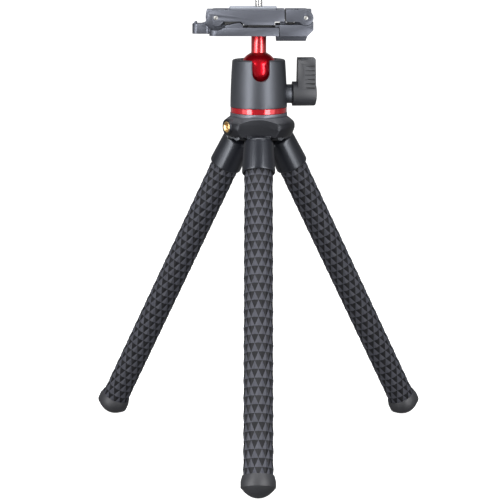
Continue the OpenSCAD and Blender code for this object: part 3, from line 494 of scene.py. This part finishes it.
def painted_groove_shade(name, colour, roughness, grain, sizes):
    """Dark plastic with painted shade in the grip grooves on the outer end of the knob's wing, which taper
    inwards.
    """
    f = Finish(name)
    fine, mask = f.mottled(grain)
    axis = Vector(JOINTS["knob_turn"]["axis"])
    corners = [v.co for v in NODES["lock_knob"].data.vertices]
    top = max(v.z for v in corners) - sizes.first
    end = max(v.dot(axis) for v in corners) - sizes.end
    out = f.along("X") * axis.x + f.along("Y") * axis.y
    place = (top - f.along("Z")) / sizes.pitch
    nearest = place.rounded().at_least(0.0).at_most(sizes.count - 1.0)
    off = abs(place - nearest) * sizes.pitch
    taper = ((out - (end - sizes.reach)) / sizes.reach).at_least(0.0) * (out < end)
    groove = ((taper * sizes.width - off) / sizes.soft).at_least(0.0).at_most(1.0)
    # painted shade: the grooves' colour is darkened to stand for the shade in them
    dark = [c * 0.28 for c in colour] + [1.0]
    return f.surface(
        Base_Color=f.blend(groove, f.shade(colour, CLOUDING, mask), dark),
        Roughness=f.uneven(roughness, 0.06, mask),
        Normal=f.bump(fine * 0.03 - groove, distance=0.4 * MM, strength=0.5),
    )


def studded(name, colour, roughness, grain, painted_light_gain):
    """Moulded rubber whose studs have upward faces painted lighter by the gain than the faces under them: painted
    top light.
    """
    f = Finish(name)
    pebble, mask = f.pebbled(grain)
    low = f.shade(colour, DUST, mask)
    # painted top light: the upward faces take the colour times the gain
    high = f.shade([c * painted_light_gain for c in colour], DUST, mask)
    return f.surface(
        Base_Color=f.blend(f.marked("upper"), low, high),
        Roughness=f.uneven(roughness, 0.05, mask),
        Specular_IOR_Level=0.18,
        Normal=f.bump(pebble, distance=0.03 * MM, strength=0.3),
    )


def finish(slot):
    """The material of one of the record's slots, made at its first use."""
    name = "finish_" + slot
    ready = bpy.data.materials.get(name)
    if ready:
        return ready
    c = bpy.context.scene.tripod.colour
    ring_low, ring_high = (corner.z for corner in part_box("accent_ring"))
    ball_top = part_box("head_housing")[1].z + STEM_RISE
    pad_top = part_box("top_pad")[1].z
    grooves = bpy.context.scene.tripod.groove
    finest = {"grain": 3200.0, "depth": 0.012 * MM}
    fine = {"grain": 3200.0, "depth": 0.015 * MM}
    blasted = {"grain": 2600.0, "depth": 0.02 * MM}
    coarse = {"grain": 2000.0, "depth": 0.02 * MM}
    # painted top light: the hub's upward faces take a lighter grey
    upper = {"second": c.hub_painted_top, "where": lambda f: f.marked("upper")}
    # painted top light on the pan base, below the ring
    painted_light_below_ring = {"second": c.pan_base, "where": lambda f: f.along("Z") < ring_low}
    makers = {
        "hub_metal": lambda: satin(name, c.hub, roughness=0.40, **blasted, gloss=0.36, **upper),
        "housing_metal": lambda: satin(name, c.housing, roughness=0.40, **fine, metallic=0.35, **painted_light_below_ring),
        "clamp_metal": lambda: satin(name, c.clamp, roughness=0.42, **fine, metallic=0.55),
        "collar_metal": lambda: satin(name, c.collar, roughness=0.30, **finest, gloss=0.54),
        "knob_plastic": lambda: painted_groove_shade(name, c.knob, roughness=0.50, grain=2400.0, sizes=grooves),
        "seat_plastic": lambda: satin(name, c.black, roughness=0.50, **coarse),
        "core_metal": lambda: satin(name, c.black, roughness=0.45, **coarse, metallic=0.6),
        "red_metal": lambda: polished(name, c.red, c.stem, ring_high + MM, ball_top),
        "steel": lambda: brushed(name, c.steel, roughness=0.32, shine_from=pad_top - MM),
        "brass": lambda: brushed(name, c.brass, roughness=0.38, shine_from=0.0),
        "sleeve_rubber": lambda: studded(name, c.sleeve, roughness=0.55, grain=2600.0, painted_light_gain=7.0),
        "foot_rubber": lambda: rubber(name, c.foot, roughness=0.50, grain=2200.0),
        "grip_rubber": lambda: rubber(name, c.black, roughness=0.62, grain=2200.0),
        "pad_rubber": lambda: rubber(name, c.pad, roughness=0.60, grain=2600.0),
    }
    return makers[slot]()


def attach(piece, body, slot, *nodes):
    """Lets a finished piece ride on its body and stand for its CAD nodes."""
    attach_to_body(piece, body)
    if nodes:
        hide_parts(*nodes)
    return piece


def new_piece(name, mesh, slot):
    """An object at the origin with its material, linked to the scene."""
    piece = bpy.data.objects.new(name, mesh)
    mesh.materials.clear()
    mesh.materials.append(finish(slot))
    bpy.context.scene.collection.objects.link(piece)
    return piece


def evaluated(piece):
    """The piece's mesh with its modifiers applied, as a plain mesh."""
    bpy.context.view_layer.update()
    graph = bpy.context.evaluated_depsgraph_get()
    return bpy.data.meshes.new_from_object(piece.evaluated_get(graph))


def bake_modifiers(piece, slot):
    """Replaces the piece's mesh by the evaluated one, in its one material, and drops its modifiers."""
    mesh = evaluated(piece)
    piece.modifiers.clear()
    piece.data = mesh
    mesh.materials.clear()
    mesh.materials.append(finish(slot))
    for face in mesh.polygons:
        face.material_index = 0
    return piece


def soften(node, width, segments=2, angle=28.0, change=None):
    """A copy of a CAD node with rounded edges, which stands for the node and may be changed first."""
    mesh = NODES[node].data.copy()
    mesh.name = node + "_finished"
    b = bmesh.new()
    b.from_mesh(mesh)
    bmesh.ops.remove_doubles(b, verts=b.verts, dist=WELD)
    bmesh.ops.dissolve_limit(
        b, angle_limit=FLAT, use_dissolve_boundaries=False, verts=b.verts, edges=b.edges
    )
    b.to_mesh(mesh)
    b.free()
    if change:
        change(mesh)
    slot = SLOT_OF[node]
    piece = new_piece(node + "_finished", mesh, slot)
    for face in mesh.polygons:
        face.use_smooth = True
    rounding = piece.modifiers.new("Round edges", "BEVEL")
    rounding.width = width
    rounding.segments = segments
    rounding.limit_method = "ANGLE"
    rounding.angle_limit = math.radians(angle)
    rounding.use_clamp_overlap = True
    rounding.harden_normals = True
    bake_modifiers(piece, slot)
    return attach(piece, BODY_OF[node], slot, node)


def lathe(name, outline, slot, steps=48):
    """A closed turned mesh about Z from points of radius and height, smooth but for its sharp corners."""
    b = bmesh.new()
    turns = [2 * math.pi * n / steps for n in range(steps)]
    rings = []
    for r, z in outline:
        if r == 0.0:
            rings.append([b.verts.new((0.0, 0.0, z))])
        else:
            rings.append([b.verts.new((r * math.cos(turn), r * math.sin(turn), z)) for turn in turns])
    closed = len(rings[0]) > 1
    pairs = list(zip(rings, rings[1:] + rings[:1])) if closed else list(zip(rings, rings[1:]))
    for low, high in pairs:
        for n in range(steps):
            m = (n + 1) % steps
            corners = [low[n % len(low)], low[m % len(low)], high[m % len(high)], high[n % len(high)]]
            corners = list(dict.fromkeys(corners))
            if len(corners) > 2:
                b.faces.new(corners)
    bmesh.ops.recalc_face_normals(b, faces=b.faces)
    for face in b.faces:
        face.smooth = True
    for edge in b.edges:
        if len(edge.link_faces) == 2 and edge.calc_face_angle() > CREASE:
            edge.smooth = False
    mesh = bpy.data.meshes.new(name)
    b.to_mesh(mesh)
    b.free()
    return new_piece(name, mesh, slot)


def block(name, low, high, slot, bevel):
    """A closed block between two corners with rounded edges."""
    b = bmesh.new()
    bmesh.ops.create_cube(b, size=1.0)
    for corner in b.verts:
        corner.co = Vector([l if c < 0 else h for c, l, h in zip(corner.co, low, high)])
    bmesh.ops.bevel(b, geom=b.edges[:], offset=bevel, segments=2, affect="EDGES", profile=0.5)
    mesh = bpy.data.meshes.new(name)
    b.to_mesh(mesh)
    b.free()
    return new_piece(name, mesh, slot)


def prism(name, outline, front, back, slot, bevel):
    """A closed prism from points of X and Z, between two places along Y, with bevelled edges."""
    b = bmesh.new()
    ends = [[b.verts.new((x, y, z)) for x, z in outline] for y in (front, back)]
    b.faces.new(ends[0])
    b.faces.new(ends[1][::-1])
    for n in range(len(outline)):
        m = (n + 1) % len(outline)
        b.faces.new((ends[0][n], ends[1][n], ends[1][m], ends[0][m]))
    bmesh.ops.recalc_face_normals(b, faces=b.faces)
    bmesh.ops.bevel(b, geom=b.edges[:], offset=bevel, segments=1, affect="EDGES", profile=0.5)
    mesh = bpy.data.meshes.new(name)
    b.to_mesh(mesh)
    b.free()
    return new_piece(name, mesh, slot)


def node_tree(name, inputs, result):
    """A new Geometry Nodes tree with named inputs and one result, and the wires of its inputs."""
    group = bpy.data.node_groups.new(name, "GeometryNodeTree")
    for label, kind in inputs:
        group.interface.new_socket(label, in_out="INPUT", socket_type="NodeSocket" + kind)
    group.interface.new_socket(result, in_out="OUTPUT", socket_type="NodeSocketGeometry")
    tree = Tree(group)
    source = group.nodes.new("NodeGroupInput")
    return tree, {socket.name: Wire(tree, socket) for socket in source.outputs}


def end_tree(tree, mesh, material, result):
    """Ends a Geometry Nodes tree with its material and gives back the group."""
    real = tree.add("GeometryNodeRealizeInstances", None, {"Geometry": mesh})
    done = tree.add("GeometryNodeSetMaterial", None, {"Geometry": real, "Material": material})
    tree.add("NodeGroupOutput", None, {result: done})
    return tree.tree


def run_nodes(name, tree, values, slot):
    """Runs a Geometry Nodes tree on an empty mesh and gives back a plain mesh object."""
    piece = new_piece(name, bpy.data.meshes.new(name), slot)
    modifier = piece.modifiers.new("Make", "NODES")
    modifier.node_group = tree
    for item in tree.interface.items_tree:
        if item.in_out == "INPUT" and item.name in values:
            modifier[item.identifier] = values[item.name]
    return bake_modifiers(piece, slot)


def sleeve_tree():
    """Geometry Nodes of a studded tube: rhombic studs whose tips and valleys take turns."""
    inputs = (
        ("Columns", "Int"),
        ("Rows", "Int"),
        ("First row", "Int"),
        ("Row height", "Float"),
        ("Valley radius", "Float"),
        ("Stud height", "Float"),
        ("Bore radius", "Float"),
        ("Material", "Material"),
    )
    t, given = node_tree("Studded sleeve", inputs, "Sleeve")
    columns, rows = given["Columns"], given["Rows"]
    # the grid's rings go down the outside, up the bore and end on the first one, which closes the tube
    grid = t.add(
        "GeometryNodeMeshGrid",
        None,
        {"Size X": 1.0, "Size Y": 1.0, "Vertices X": columns + 1, "Vertices Y": rows * 2 + 3},
    )
    spot = t.add("GeometryNodeInputPosition")
    column = ((t.part(spot, "X") + 0.5) * columns).rounded()
    ring = ((0.5 - t.part(spot, "Y")) * (rows * 2 + 2)).rounded()
    inside = (ring > rows + 0.5) * (ring < rows * 2 + 1.5)
    outside = 1 - inside
    row = outside * ring * (ring < rows + 0.5) + inside * (rows * 2 + 1 - ring)
    tip = (column + row + given["First row"]) % 2
    stud = given["Valley radius"] + tip * given["Stud height"]
    radius = outside * stud + (1 - outside) * given["Bore radius"]
    angle = column / columns * (2 * math.pi) - math.pi / 2
    point = t.add(
        "ShaderNodeCombineXYZ",
        None,
        {
            "X": radius * angle.math("COSINE", angle, 0.0),
            "Y": radius * angle.math("SINE", angle, 0.0),
            "Z": (row + given["First row"]) * given["Row height"] * -1.0,
        },
    )
    placed = t.add("GeometryNodeSetPosition", None, {"Geometry": grid, "Position": point})
    merged = t.add("GeometryNodeMergeByDistance", None, {"Geometry": placed, "Distance": SEAM})
    facets = t.add("GeometryNodeTriangulate", {"quad_method": "SHORTEST_DIAGONAL"}, {"Mesh": merged})
    # the faces that look up are marked here, and the sleeve's material paints them lighter as painted top light
    marked = t.add(
        "GeometryNodeStoreNamedAttribute",
        {"data_type": "FLOAT", "domain": "FACE"},
        {"Geometry": facets, "Name": "upper", "Value": t.part(t.add("GeometryNodeInputNormal"), "Z") > 0.0},
    )
    return end_tree(t, marked, given["Material"], "Sleeve")


def thread_tree():
    """Geometry Nodes of a thread: a ridge of diamond section along a spiral."""
    inputs = (
        ("Radius", "Float"),
        ("Turns", "Float"),
        ("Rise", "Float"),
        ("Ridge width", "Float"),
        ("Ridge height", "Float"),
        ("Material", "Material"),
    )
    t, given = node_tree("Thread ridge", inputs, "Thread")
    spiral = t.add(
        "GeometryNodeCurveSpiral",
        None,
        {
            "Resolution": 32,
            "Rotations": given["Turns"],
            "Start Radius": given["Radius"],
            "End Radius": given["Radius"],
            "Height": given["Rise"],
        },
    )
    upright = t.add("GeometryNodeSetCurveNormal", {"mode": "Z_UP"}, {"Curve": spiral})
    section = t.add(
        "GeometryNodeCurvePrimitiveQuadrilateral",
        {"mode": "KITE"},
        {
            "Width": given["Ridge width"],
            "Bottom Height": given["Ridge height"] / 2,
            "Top Height": given["Ridge height"] / 2,
        },
    )
    ridge = t.add(
        "GeometryNodeCurveToMesh", None, {"Curve": upright, "Profile Curve": section, "Fill Caps": True}
    )
    return end_tree(t, ridge, given["Material"], "Thread")


def thread(name, radius, rise, pitch, ridge_width, ridge_height, slot):
    """The ridge of a thread, from the origin up along Z."""
    values = {
        "Radius": radius,
        "Turns": rise / pitch,
        "Rise": rise,
        "Ridge width": ridge_width,
        "Ridge height": ridge_height,
        "Material": finish(slot),
    }
    return run_nodes(name, thread_tree(), values, slot)


def within(value, low, high):
    """How far a value has come from one bound to the other, from 0 to 1."""
    return min(1.0, max(0.0, (value - low) / (high - low)))


def eased(part):
    """A part from 0 to 1 with a soft start and end."""
    return part * part * (3.0 - 2.0 * part)


def leg_frame(i):
    """Matrix that places what is made along -Z from the origin on leg i, from its hinge."""
    hinge = Vector(JOINTS[f"leg_{i}_hinge"]["pos_m"])
    across = Vector(JOINTS[f"leg_{i}_bend_1"]["axis"])
    side = Vector(JOINTS[f"leg_{i}_bend_2"]["axis"])
    up = (hinge - Vector(JOINTS[f"leg_{i}_bend_1"]["pos_m"])).normalized()
    turn = Matrix((across, side, up)).transposed().to_4x4()
    return Matrix.Translation(hinge) @ turn


def widened(place, growth):
    """A change that widens a mesh about a leg's axis, as the growth says for a reach and a radius."""

    def change(mesh):
        back = place.inverted()
        for corner in mesh.vertices:
            spot = back @ corner.co
            grow = 1.0 + growth(-spot.z, math.hypot(spot.x, spot.y))
            corner.co = place @ Vector((spot.x * grow, spot.y * grow, spot.z))

    return change


def outward(piece):
    """Makes the faces of a closed piece point outwards."""
    b = bmesh.new()
    b.from_mesh(piece.data)
    bmesh.ops.recalc_face_normals(b, faces=b.faces)
    b.to_mesh(piece.data)
    b.free()
    return piece


def mark_painted_top_light(piece, reach, fade, steep=0.25, gentle=0.60):
    """Marks how far a piece's corners look up, within a reach from the column that fades at its end, for the
    painted top light that makes those corners lighter.
    """
    mesh = piece.data
    mark = mesh.attributes.new("upper", "FLOAT", "CORNER")
    for place, loop, normal in zip(mark.data, mesh.loops, mesh.corner_normals):
        spot = mesh.vertices[loop.vertex_index].co
        near = within(math.hypot(spot.x, spot.y), reach, reach - fade)
        place.value = eased(within(normal.vector.z, steep, gentle) * near)


class TRIPOD_OT_leg_sleeves(Operator):
    """Make the studded rubber sleeves on the legs"""

    bl_idname = "tripod.leg_sleeves"
    bl_label = "Leg sleeves"

    def execute(self, context):
        s = context.scene.tripod.sleeve
        tree = sleeve_tree()
        rubber_skin = finish("sleeve_rubber")
        hinge = Vector(JOINTS["leg_1_hinge"]["pos_m"])
        reach = [(Vector(JOINTS[f"leg_1_bend_{n}"]["pos_m"]) - hinge).length - s.start for n in (1, 2, 3)]
        middles = [(reach[n] + reach[n + 1]) / 2 for n in (0, 1)]
        cuts = [0, round(middles[0] / s.pitch), round(middles[1] / s.pitch), s.rows]
        for i in LEGS:
            place = leg_frame(i)
            for n in range(3):
                piece = run_nodes(
                    f"leg_{i}_sleeve_bend_{n + 1}",
                    tree,
                    {
                        "Columns": s.columns,
                        "Rows": cuts[n + 1] - cuts[n],
                        "First row": cuts[n],
                        "Row height": s.pitch,
                        "Valley radius": s.valley,
                        "Stud height": s.stud,
                        "Bore radius": s.bore,
                        "Material": rubber_skin,
                    },
                    "sleeve_rubber",
                )
                piece.data.transform(place @ Matrix.Translation((0.0, 0.0, -s.start)))
                outward(piece)
                middle = Vector(JOINTS[f"leg_{i}_bend_{n + 1}"]["pos_m"])
                down = (place.to_3x3() @ Vector((0.0, 0.0, -1.0))) * s.bend
                middle - down
                middle + down
                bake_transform(piece)
                if n == 0:
                    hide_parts(f"leg_{i}_sleeve_1", f"leg_{i}_sleeve_2")
                else:
                    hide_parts(f"leg_{i}_sleeve_{n + 2}")
        return {"FINISHED"}


class TRIPOD_OT_leg_ends(Operator):
    """Make the collars and the feet of the legs"""

    bl_idname = "tripod.leg_ends"
    bl_label = "Leg collars and feet"

    def execute(self, context):
        edge = context.scene.tripod.edge
        leg = context.scene.tripod.leg

        def collar_growth(reach, radius):
            return leg.collar * eased(within(reach, leg.neck, leg.mouth))

        def foot_growth(reach, radius):
            return leg.foot * within(radius, 0.0, leg.band) ** 4

        for i in LEGS:
            place = leg_frame(i)
            soften(f"leg_{i}_collar", edge.collar, segments=3, change=widened(place, collar_growth))
            soften(f"leg_{i}_foot", edge.foot, segments=3, angle=20.0, change=widened(place, foot_growth))
            soften(f"leg_pin_{i}", edge.pin)
        return {"FINISHED"}


class TRIPOD_OT_hub(Operator):
    """Make the hub, the pan base and the accent ring"""

    bl_idname = "tripod.hub"
    bl_label = "Hub"

    def execute(self, context):
        edge = context.scene.tripod.edge
        # the hub's upward faces are marked for painted top light
        mark_painted_top_light(soften("hub_body", edge.hub, segments=3), edge.hub_painted_top, edge.hub_fade)
        soften("pan_base", edge.head)
        low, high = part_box("accent_ring")
        outside = high.x
        bore = min(math.hypot(v.co.x, v.co.y) for v in NODES["accent_ring"].data.vertices)
        bevel = edge.head
        ring = lathe(
            "accent_ring_finished",
            [
                (bore, low.z),
                (outside - bevel, low.z),
                (outside, low.z + bevel),
                (outside, high.z - bevel),
                (outside - bevel, high.z),
                (bore, high.z),
            ],
            "red_metal",
            steps=128,
        )
        attach(ring, "base", "red_metal", "accent_ring")
        return {"FINISHED"}


class TRIPOD_OT_accessory_insert(Operator):
    """Make the threaded brass insert in the hub"""

    bl_idname = "tripod.accessory_insert"
    bl_label = "Accessory insert"

    def execute(self, context):
        t = context.scene.tripod.thread
        mount = next(m for m in RECORD["mounts"] if m["name"] == "accessory_thread")
        out = Vector(mount["axis"])
        low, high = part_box("accessory_insert")
        wall = [Vector(v.co) for v in NODES["accessory_insert"].data.vertices]
        reach = [p.dot(out) for p in wall]
        back, face = min(reach), max(reach)
        axis = Vector((0.0, 0.0, (low.z + high.z) / 2))
        outside = max((p - axis - out * (p - axis).dot(out)).length for p in wall)
        depth = mount["dims"]["length_mm"] * MM
        floor = face - depth
        ring = lathe(
            "accessory_insert_finished",
            [
                (0.0, back),
                (outside, back),
                (outside, face - t.lip),
                (outside - t.lip, face),
                (t.socket + t.mouth, face),
                (t.socket, face - t.mouth),
                (t.socket, floor),
                (0.0, floor),
            ],
            "brass",
        )
        ridge = thread(
            "accessory_insert_thread",
            radius=t.socket + t.overlap,
            rise=depth - t.insert_start - t.insert_end,
            pitch=t.pitch,
            ridge_width=2 * (t.socket - mount["dims"]["r_mm"] * MM),
            ridge_height=t.pitch * t.insert_ridge,
            slot="brass",
        )
        ridge.data.transform(Matrix.Translation((0.0, 0.0, floor + t.insert_start)))
        turn = Vector((0.0, 0.0, 1.0)).rotation_difference(out).to_matrix().to_4x4()
        for piece in (ring, ridge):
            piece.data.transform(Matrix.Translation(axis) @ turn)
            outward(piece)
        attach(ring, "base", "brass", "accessory_insert")
        attach(ridge, "base", "brass")
        return {"FINISHED"}


class TRIPOD_OT_ball_head(Operator):
    """Make the housing, the knob's collar and the ball with its stem"""

    bl_idname = "tripod.ball_head"
    bl_label = "Ball head"

    def execute(self, context):
        edge = context.scene.tripod.edge
        soften("head_housing", edge.head, segments=3)
        soften("knob_collar", edge.head)
        soften("ball_stem", edge.head, segments=3)
        return {"FINISHED"}


class TRIPOD_OT_lock_knob(Operator):
    """Make the lock knob with its wing"""

    bl_idname = "tripod.lock_knob"
    bl_label = "Lock knob"

    def execute(self, context):
        soften("lock_knob", context.scene.tripod.edge.knob, segments=3)
        return {"FINISHED"}


class TRIPOD_OT_phone_clamp(Operator):
    """Make the clamp base, its arms, the sliding jaw and their pins"""

    bl_idname = "tripod.phone_clamp"
    bl_label = "Phone clamp"

    def execute(self, context):
        edge = context.scene.tripod.edge
        for node in ("clamp_base", "long_arm", "short_arm", "clamp_slide"):
            soften(node, edge.clamp)
        for node in ("long_arm_pin", "short_arm_pin"):
            soften(node, edge.pin)
        return {"FINISHED"}


class TRIPOD_OT_clamp_liners(Operator):
    """Make the black rubber strips that close the slits between the arms and the base, dark pieces that stand for
    the shade in the slits
    """

    bl_idname = "tripod.clamp_liners"
    bl_label = "Clamp liners"

    def execute(self, context):
        s = context.scene.tripod.liner
        short_low, short_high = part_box("short_arm")
        pin = JOINTS["short_arm_fold"]["pos_m"]
        # painted shade: a black strip in the slit at the short arm's free end
        strip = block(
            "short_arm_end_shade_strip",
            (short_low.x - s.strip, short_low.y + s.inset, pin[2] - s.strip_drop),
            (short_low.x + s.strip, short_high.y - s.inset, short_high.z - s.inset / 2),
            "grip_rubber",
            bevel=s.strip_edge,
        )
        attach(strip, BODY_OF["short_arm"], "grip_rubber")
        arm_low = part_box("long_arm")[0]
        pin = JOINTS["long_arm_fold"]["pos_m"]
        # painted shade: a black liner in the slit under the long arm
        liner = prism(
            "long_arm_shade_liner",
            [
                (pin[0] + s.start, pin[2] - s.liner_drop),
                (pin[0] + s.end, pin[2] - s.liner_end_drop),
                (pin[0] + s.end, pin[2] - s.liner_top),
                (pin[0] + s.start, pin[2] - s.liner_top),
            ],
            arm_low.y + s.side,
            arm_low.y + s.side + s.liner_width,
            "grip_rubber",
            bevel=s.liner_edge,
        )
        attach(liner, BODY_OF["long_arm"], "grip_rubber")
        base_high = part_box("clamp_base")[1]
        slide_low, slide_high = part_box("clamp_slide")
        level = JOINTS["plate_turn"]["pos_m"][2]
        lip = block(
            "clamp_slide_lip",
            (base_high.x - s.lip, slide_low.y + s.inset, level + s.lip_low),
            (base_high.x + s.lip_join, slide_high.y - s.inset, level + s.lip_top),
            "clamp_metal",
            bevel=s.lip_edge,
        )
        attach(lip, BODY_OF["clamp_slide"], "clamp_metal")
        return {"FINISHED"}


class TRIPOD_OT_camera_plate(Operator):
    """Make the top pad, the grips and the threaded camera screw"""

    bl_idname = "tripod.camera_plate"
    bl_label = "Camera plate"

    def execute(self, context):
        t = context.scene.tripod.thread
        soften("top_pad", context.scene.tripod.edge.pin)
        low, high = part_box("camera_screw")
        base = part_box("top_pad")[1].z
        tip = high.z
        head_r = (high.x - low.x) / 2
        head_top = low.z + t.head
        recess_r = head_r * t.recess_width
        screw = lathe(
            "camera_screw_finished",
            [
                (0.0, low.z + t.recess),
                (recess_r, low.z + t.recess),
                (recess_r, low.z),
                (head_r - t.bevel, low.z),
                (head_r, low.z + t.bevel),
                (head_r, head_top - t.bevel),
                (head_r - t.bevel, head_top),
                (t.shank, head_top),
                (t.shank, base - t.neck),
                (t.core, base - t.neck_end),
                (t.core, tip - t.point),
                (t.core - t.point, tip),
                (0.0, tip),
            ],
            "steel",
        )
        ridge = thread(
            "camera_screw_thread",
            radius=t.core - t.overlap,
            rise=tip - base - t.screw_start - t.screw_end,
            pitch=t.pitch,
            ridge_width=2 * (t.outside - t.core),
            ridge_height=t.pitch * t.screw_ridge,
            slot="steel",
        )
        ridge.data.transform(Matrix.Translation((0.0, 0.0, base + t.screw_start)))
        outward(ridge)
        attach(screw, "screw", "steel", "camera_screw")
        attach(ridge, "screw", "steel")
        return {"FINISHED"}


class TRIPOD_OT_hidden_pieces(Operator):
    """Give all built pieces their finishes, for those that stay as they are"""

    bl_idname = "tripod.hidden_pieces"
    bl_label = "Built pieces"

    def execute(self, context):
        for node, piece in NODES.items():
            piece.data.materials.clear()
            piece.data.materials.append(finish(SLOT_OF[node]))
        return {"FINISHED"}


class TRIPOD_OT_stage(Operator):
    """Set up the floor, the softboxes and the camera"""

    bl_idname = "tripod.stage"
    bl_label = "Stage"

    aim = Vector((0.0, 0.0, 0.2))  # point that the softboxes stand round, in metres
    reach = 1.25  # distance of the softboxes from it

    def softbox(self, name, power, azimuth, elevation, width, height, tilt, gloss, dull):
        """A large soft light for shine, dull light or both, at angles in degrees to the right and up."""
        turn, rise = math.radians(azimuth), math.radians(elevation)
        away = Vector((math.sin(turn) * math.cos(rise), -math.cos(turn) * math.cos(rise), math.sin(rise)))
        facing = -away if tilt else -Vector((away.x, away.y, 0.0))
        lamp = bpy.data.lights.new(name, "AREA")
        lamp.shape = "RECTANGLE"
        lamp.size, lamp.size_y, lamp.energy = width, height, power
        holder = bpy.data.objects.new(name, lamp)
        holder.location = self.aim + away * self.reach
        holder.rotation_euler = facing.to_track_quat("-Z", "Y").to_euler()
        holder.visible_glossy, holder.visible_diffuse = gloss, dull
        bpy.context.scene.collection.objects.link(holder)

    def backdrop(self, radius, glow):
        """A pale floor that runs into a round backdrop, seen by the camera alone, so it lights nothing."""
        b = bmesh.new()
        bmesh.ops.create_uvsphere(b, u_segments=64, v_segments=32, radius=radius)
        for corner in b.verts:
            corner.co.z = max(corner.co.z, 0.0)
        bmesh.ops.reverse_faces(b, faces=b.faces)
        mesh = bpy.data.meshes.new("floor")
        b.to_mesh(mesh)
        b.free()
        f = Finish("pale_floor")
        cloud = f.noise(0.8, 2.0)
        mesh.materials.append(
            f.surface(
                Base_Color=f.shade((0.45, 0.45, 0.45), 0.01, cloud),
                Roughness=0.85 + cloud * 0.05,
                Emission_Color=(1.0, 1.0, 1.0, 1.0),
                Emission_Strength=glow,
            )
        )
        floor = bpy.data.objects.new("floor", mesh)
        floor.visible_diffuse = floor.visible_glossy = False
        floor.visible_transmission = floor.visible_shadow = False
        bpy.context.scene.collection.objects.link(floor)

    def execute(self, context):
        s = context.scene.tripod.stage
        self.backdrop(s.floor, s.glow)
        world = bpy.data.worlds.new("studio")
        world.use_nodes = True
        sky = world.node_tree.nodes["Background"].inputs
        sky["Color"].default_value = (1.0, 1.0, 1.0, 1.0)
        sky["Strength"].default_value = s.sky
        context.scene.world = world
        context.scene.view_settings.view_transform = "Standard"
        upright = {"elevation": 15.0, "height": 1.6, "tilt": False, "gloss": True, "dull": False}
        self.softbox("left_strip", s.left, azimuth=-38.0, width=0.42, **upright)
        self.softbox("right_strip", s.right, azimuth=36.0, width=0.46, **upright)
        self.softbox("left_softbox", s.wide, azimuth=-58.0, width=0.48, **upright)
        self.softbox("right_softbox", s.wide * 0.8, azimuth=57.0, width=0.46, **upright)
        self.softbox("left_edge", s.wide * 0.1, azimuth=-80.0, width=0.48, **upright)
        self.softbox("right_edge", s.wide * 0.1, azimuth=78.0, width=0.46, **upright)
        above = {"azimuth": 0.0, "elevation": 93.0, "width": 1.6, "height": 0.9}
        self.softbox("top_softbox", s.top, **above, tilt=True, gloss=True, dull=True)
        front = {"azimuth": -14.0, "elevation": 18.0, "width": 1.0, "height": 1.0}
        self.softbox("fill_light", s.fill, **front, tilt=True, gloss=False, dull=True)
        lens = bpy.data.cameras.new("camera")
        lens.sensor_width = 36.0
        lens.lens = s.lens
        camera = bpy.data.objects.new("camera", lens)
        camera.location = (0.0, -s.distance, s.height)
        camera.rotation_euler = (math.pi / 2 - s.pitch, 0.0, s.yaw)
        context.scene.collection.objects.link(camera)
        context.scene.camera = camera
        return {"FINISHED"}


class TRIPOD_PT_panel(Panel):
    """Lists the steps of the tripod"""

    bl_idname = "TRIPOD_PT_panel"
    bl_label = "Tripod"
    bl_space_type = "VIEW_3D"
    bl_region_type = "UI"
    bl_category = "Tripod"

    def draw(self, context):
        for step in STEPS:
            self.layout.operator(step.bl_idname)


STEPS = (
    TRIPOD_OT_stage,
    TRIPOD_OT_hidden_pieces,
    TRIPOD_OT_hub,
    TRIPOD_OT_accessory_insert,
    TRIPOD_OT_leg_ends,
    TRIPOD_OT_leg_sleeves,
    TRIPOD_OT_ball_head,
    TRIPOD_OT_lock_knob,
    TRIPOD_OT_phone_clamp,
    TRIPOD_OT_clamp_liners,
    TRIPOD_OT_camera_plate,
)
SETTINGS = (
    SleeveSizes,
    EdgeSizes,
    LegWidths,
    LinerSizes,
    GrooveSizes,
    ThreadSizes,
    FinishColours,
    StageSettings,
    TripodSettings,
)


def register():
    for kind in SETTINGS + STEPS + (TRIPOD_PT_panel,):
        bpy.utils.register_class(kind)
    bpy.types.Scene.tripod = PointerProperty(type=TripodSettings)


def unregister():
    del bpy.types.Scene.tripod
    for kind in reversed(SETTINGS + STEPS + (TRIPOD_PT_panel,)):
        bpy.utils.unregister_class(kind)


def main():
    register()
    for step in STEPS:
        area, name = step.bl_idname.split(".")
        getattr(getattr(bpy.ops, area), name)()


if __name__ == "__main__":
    main()
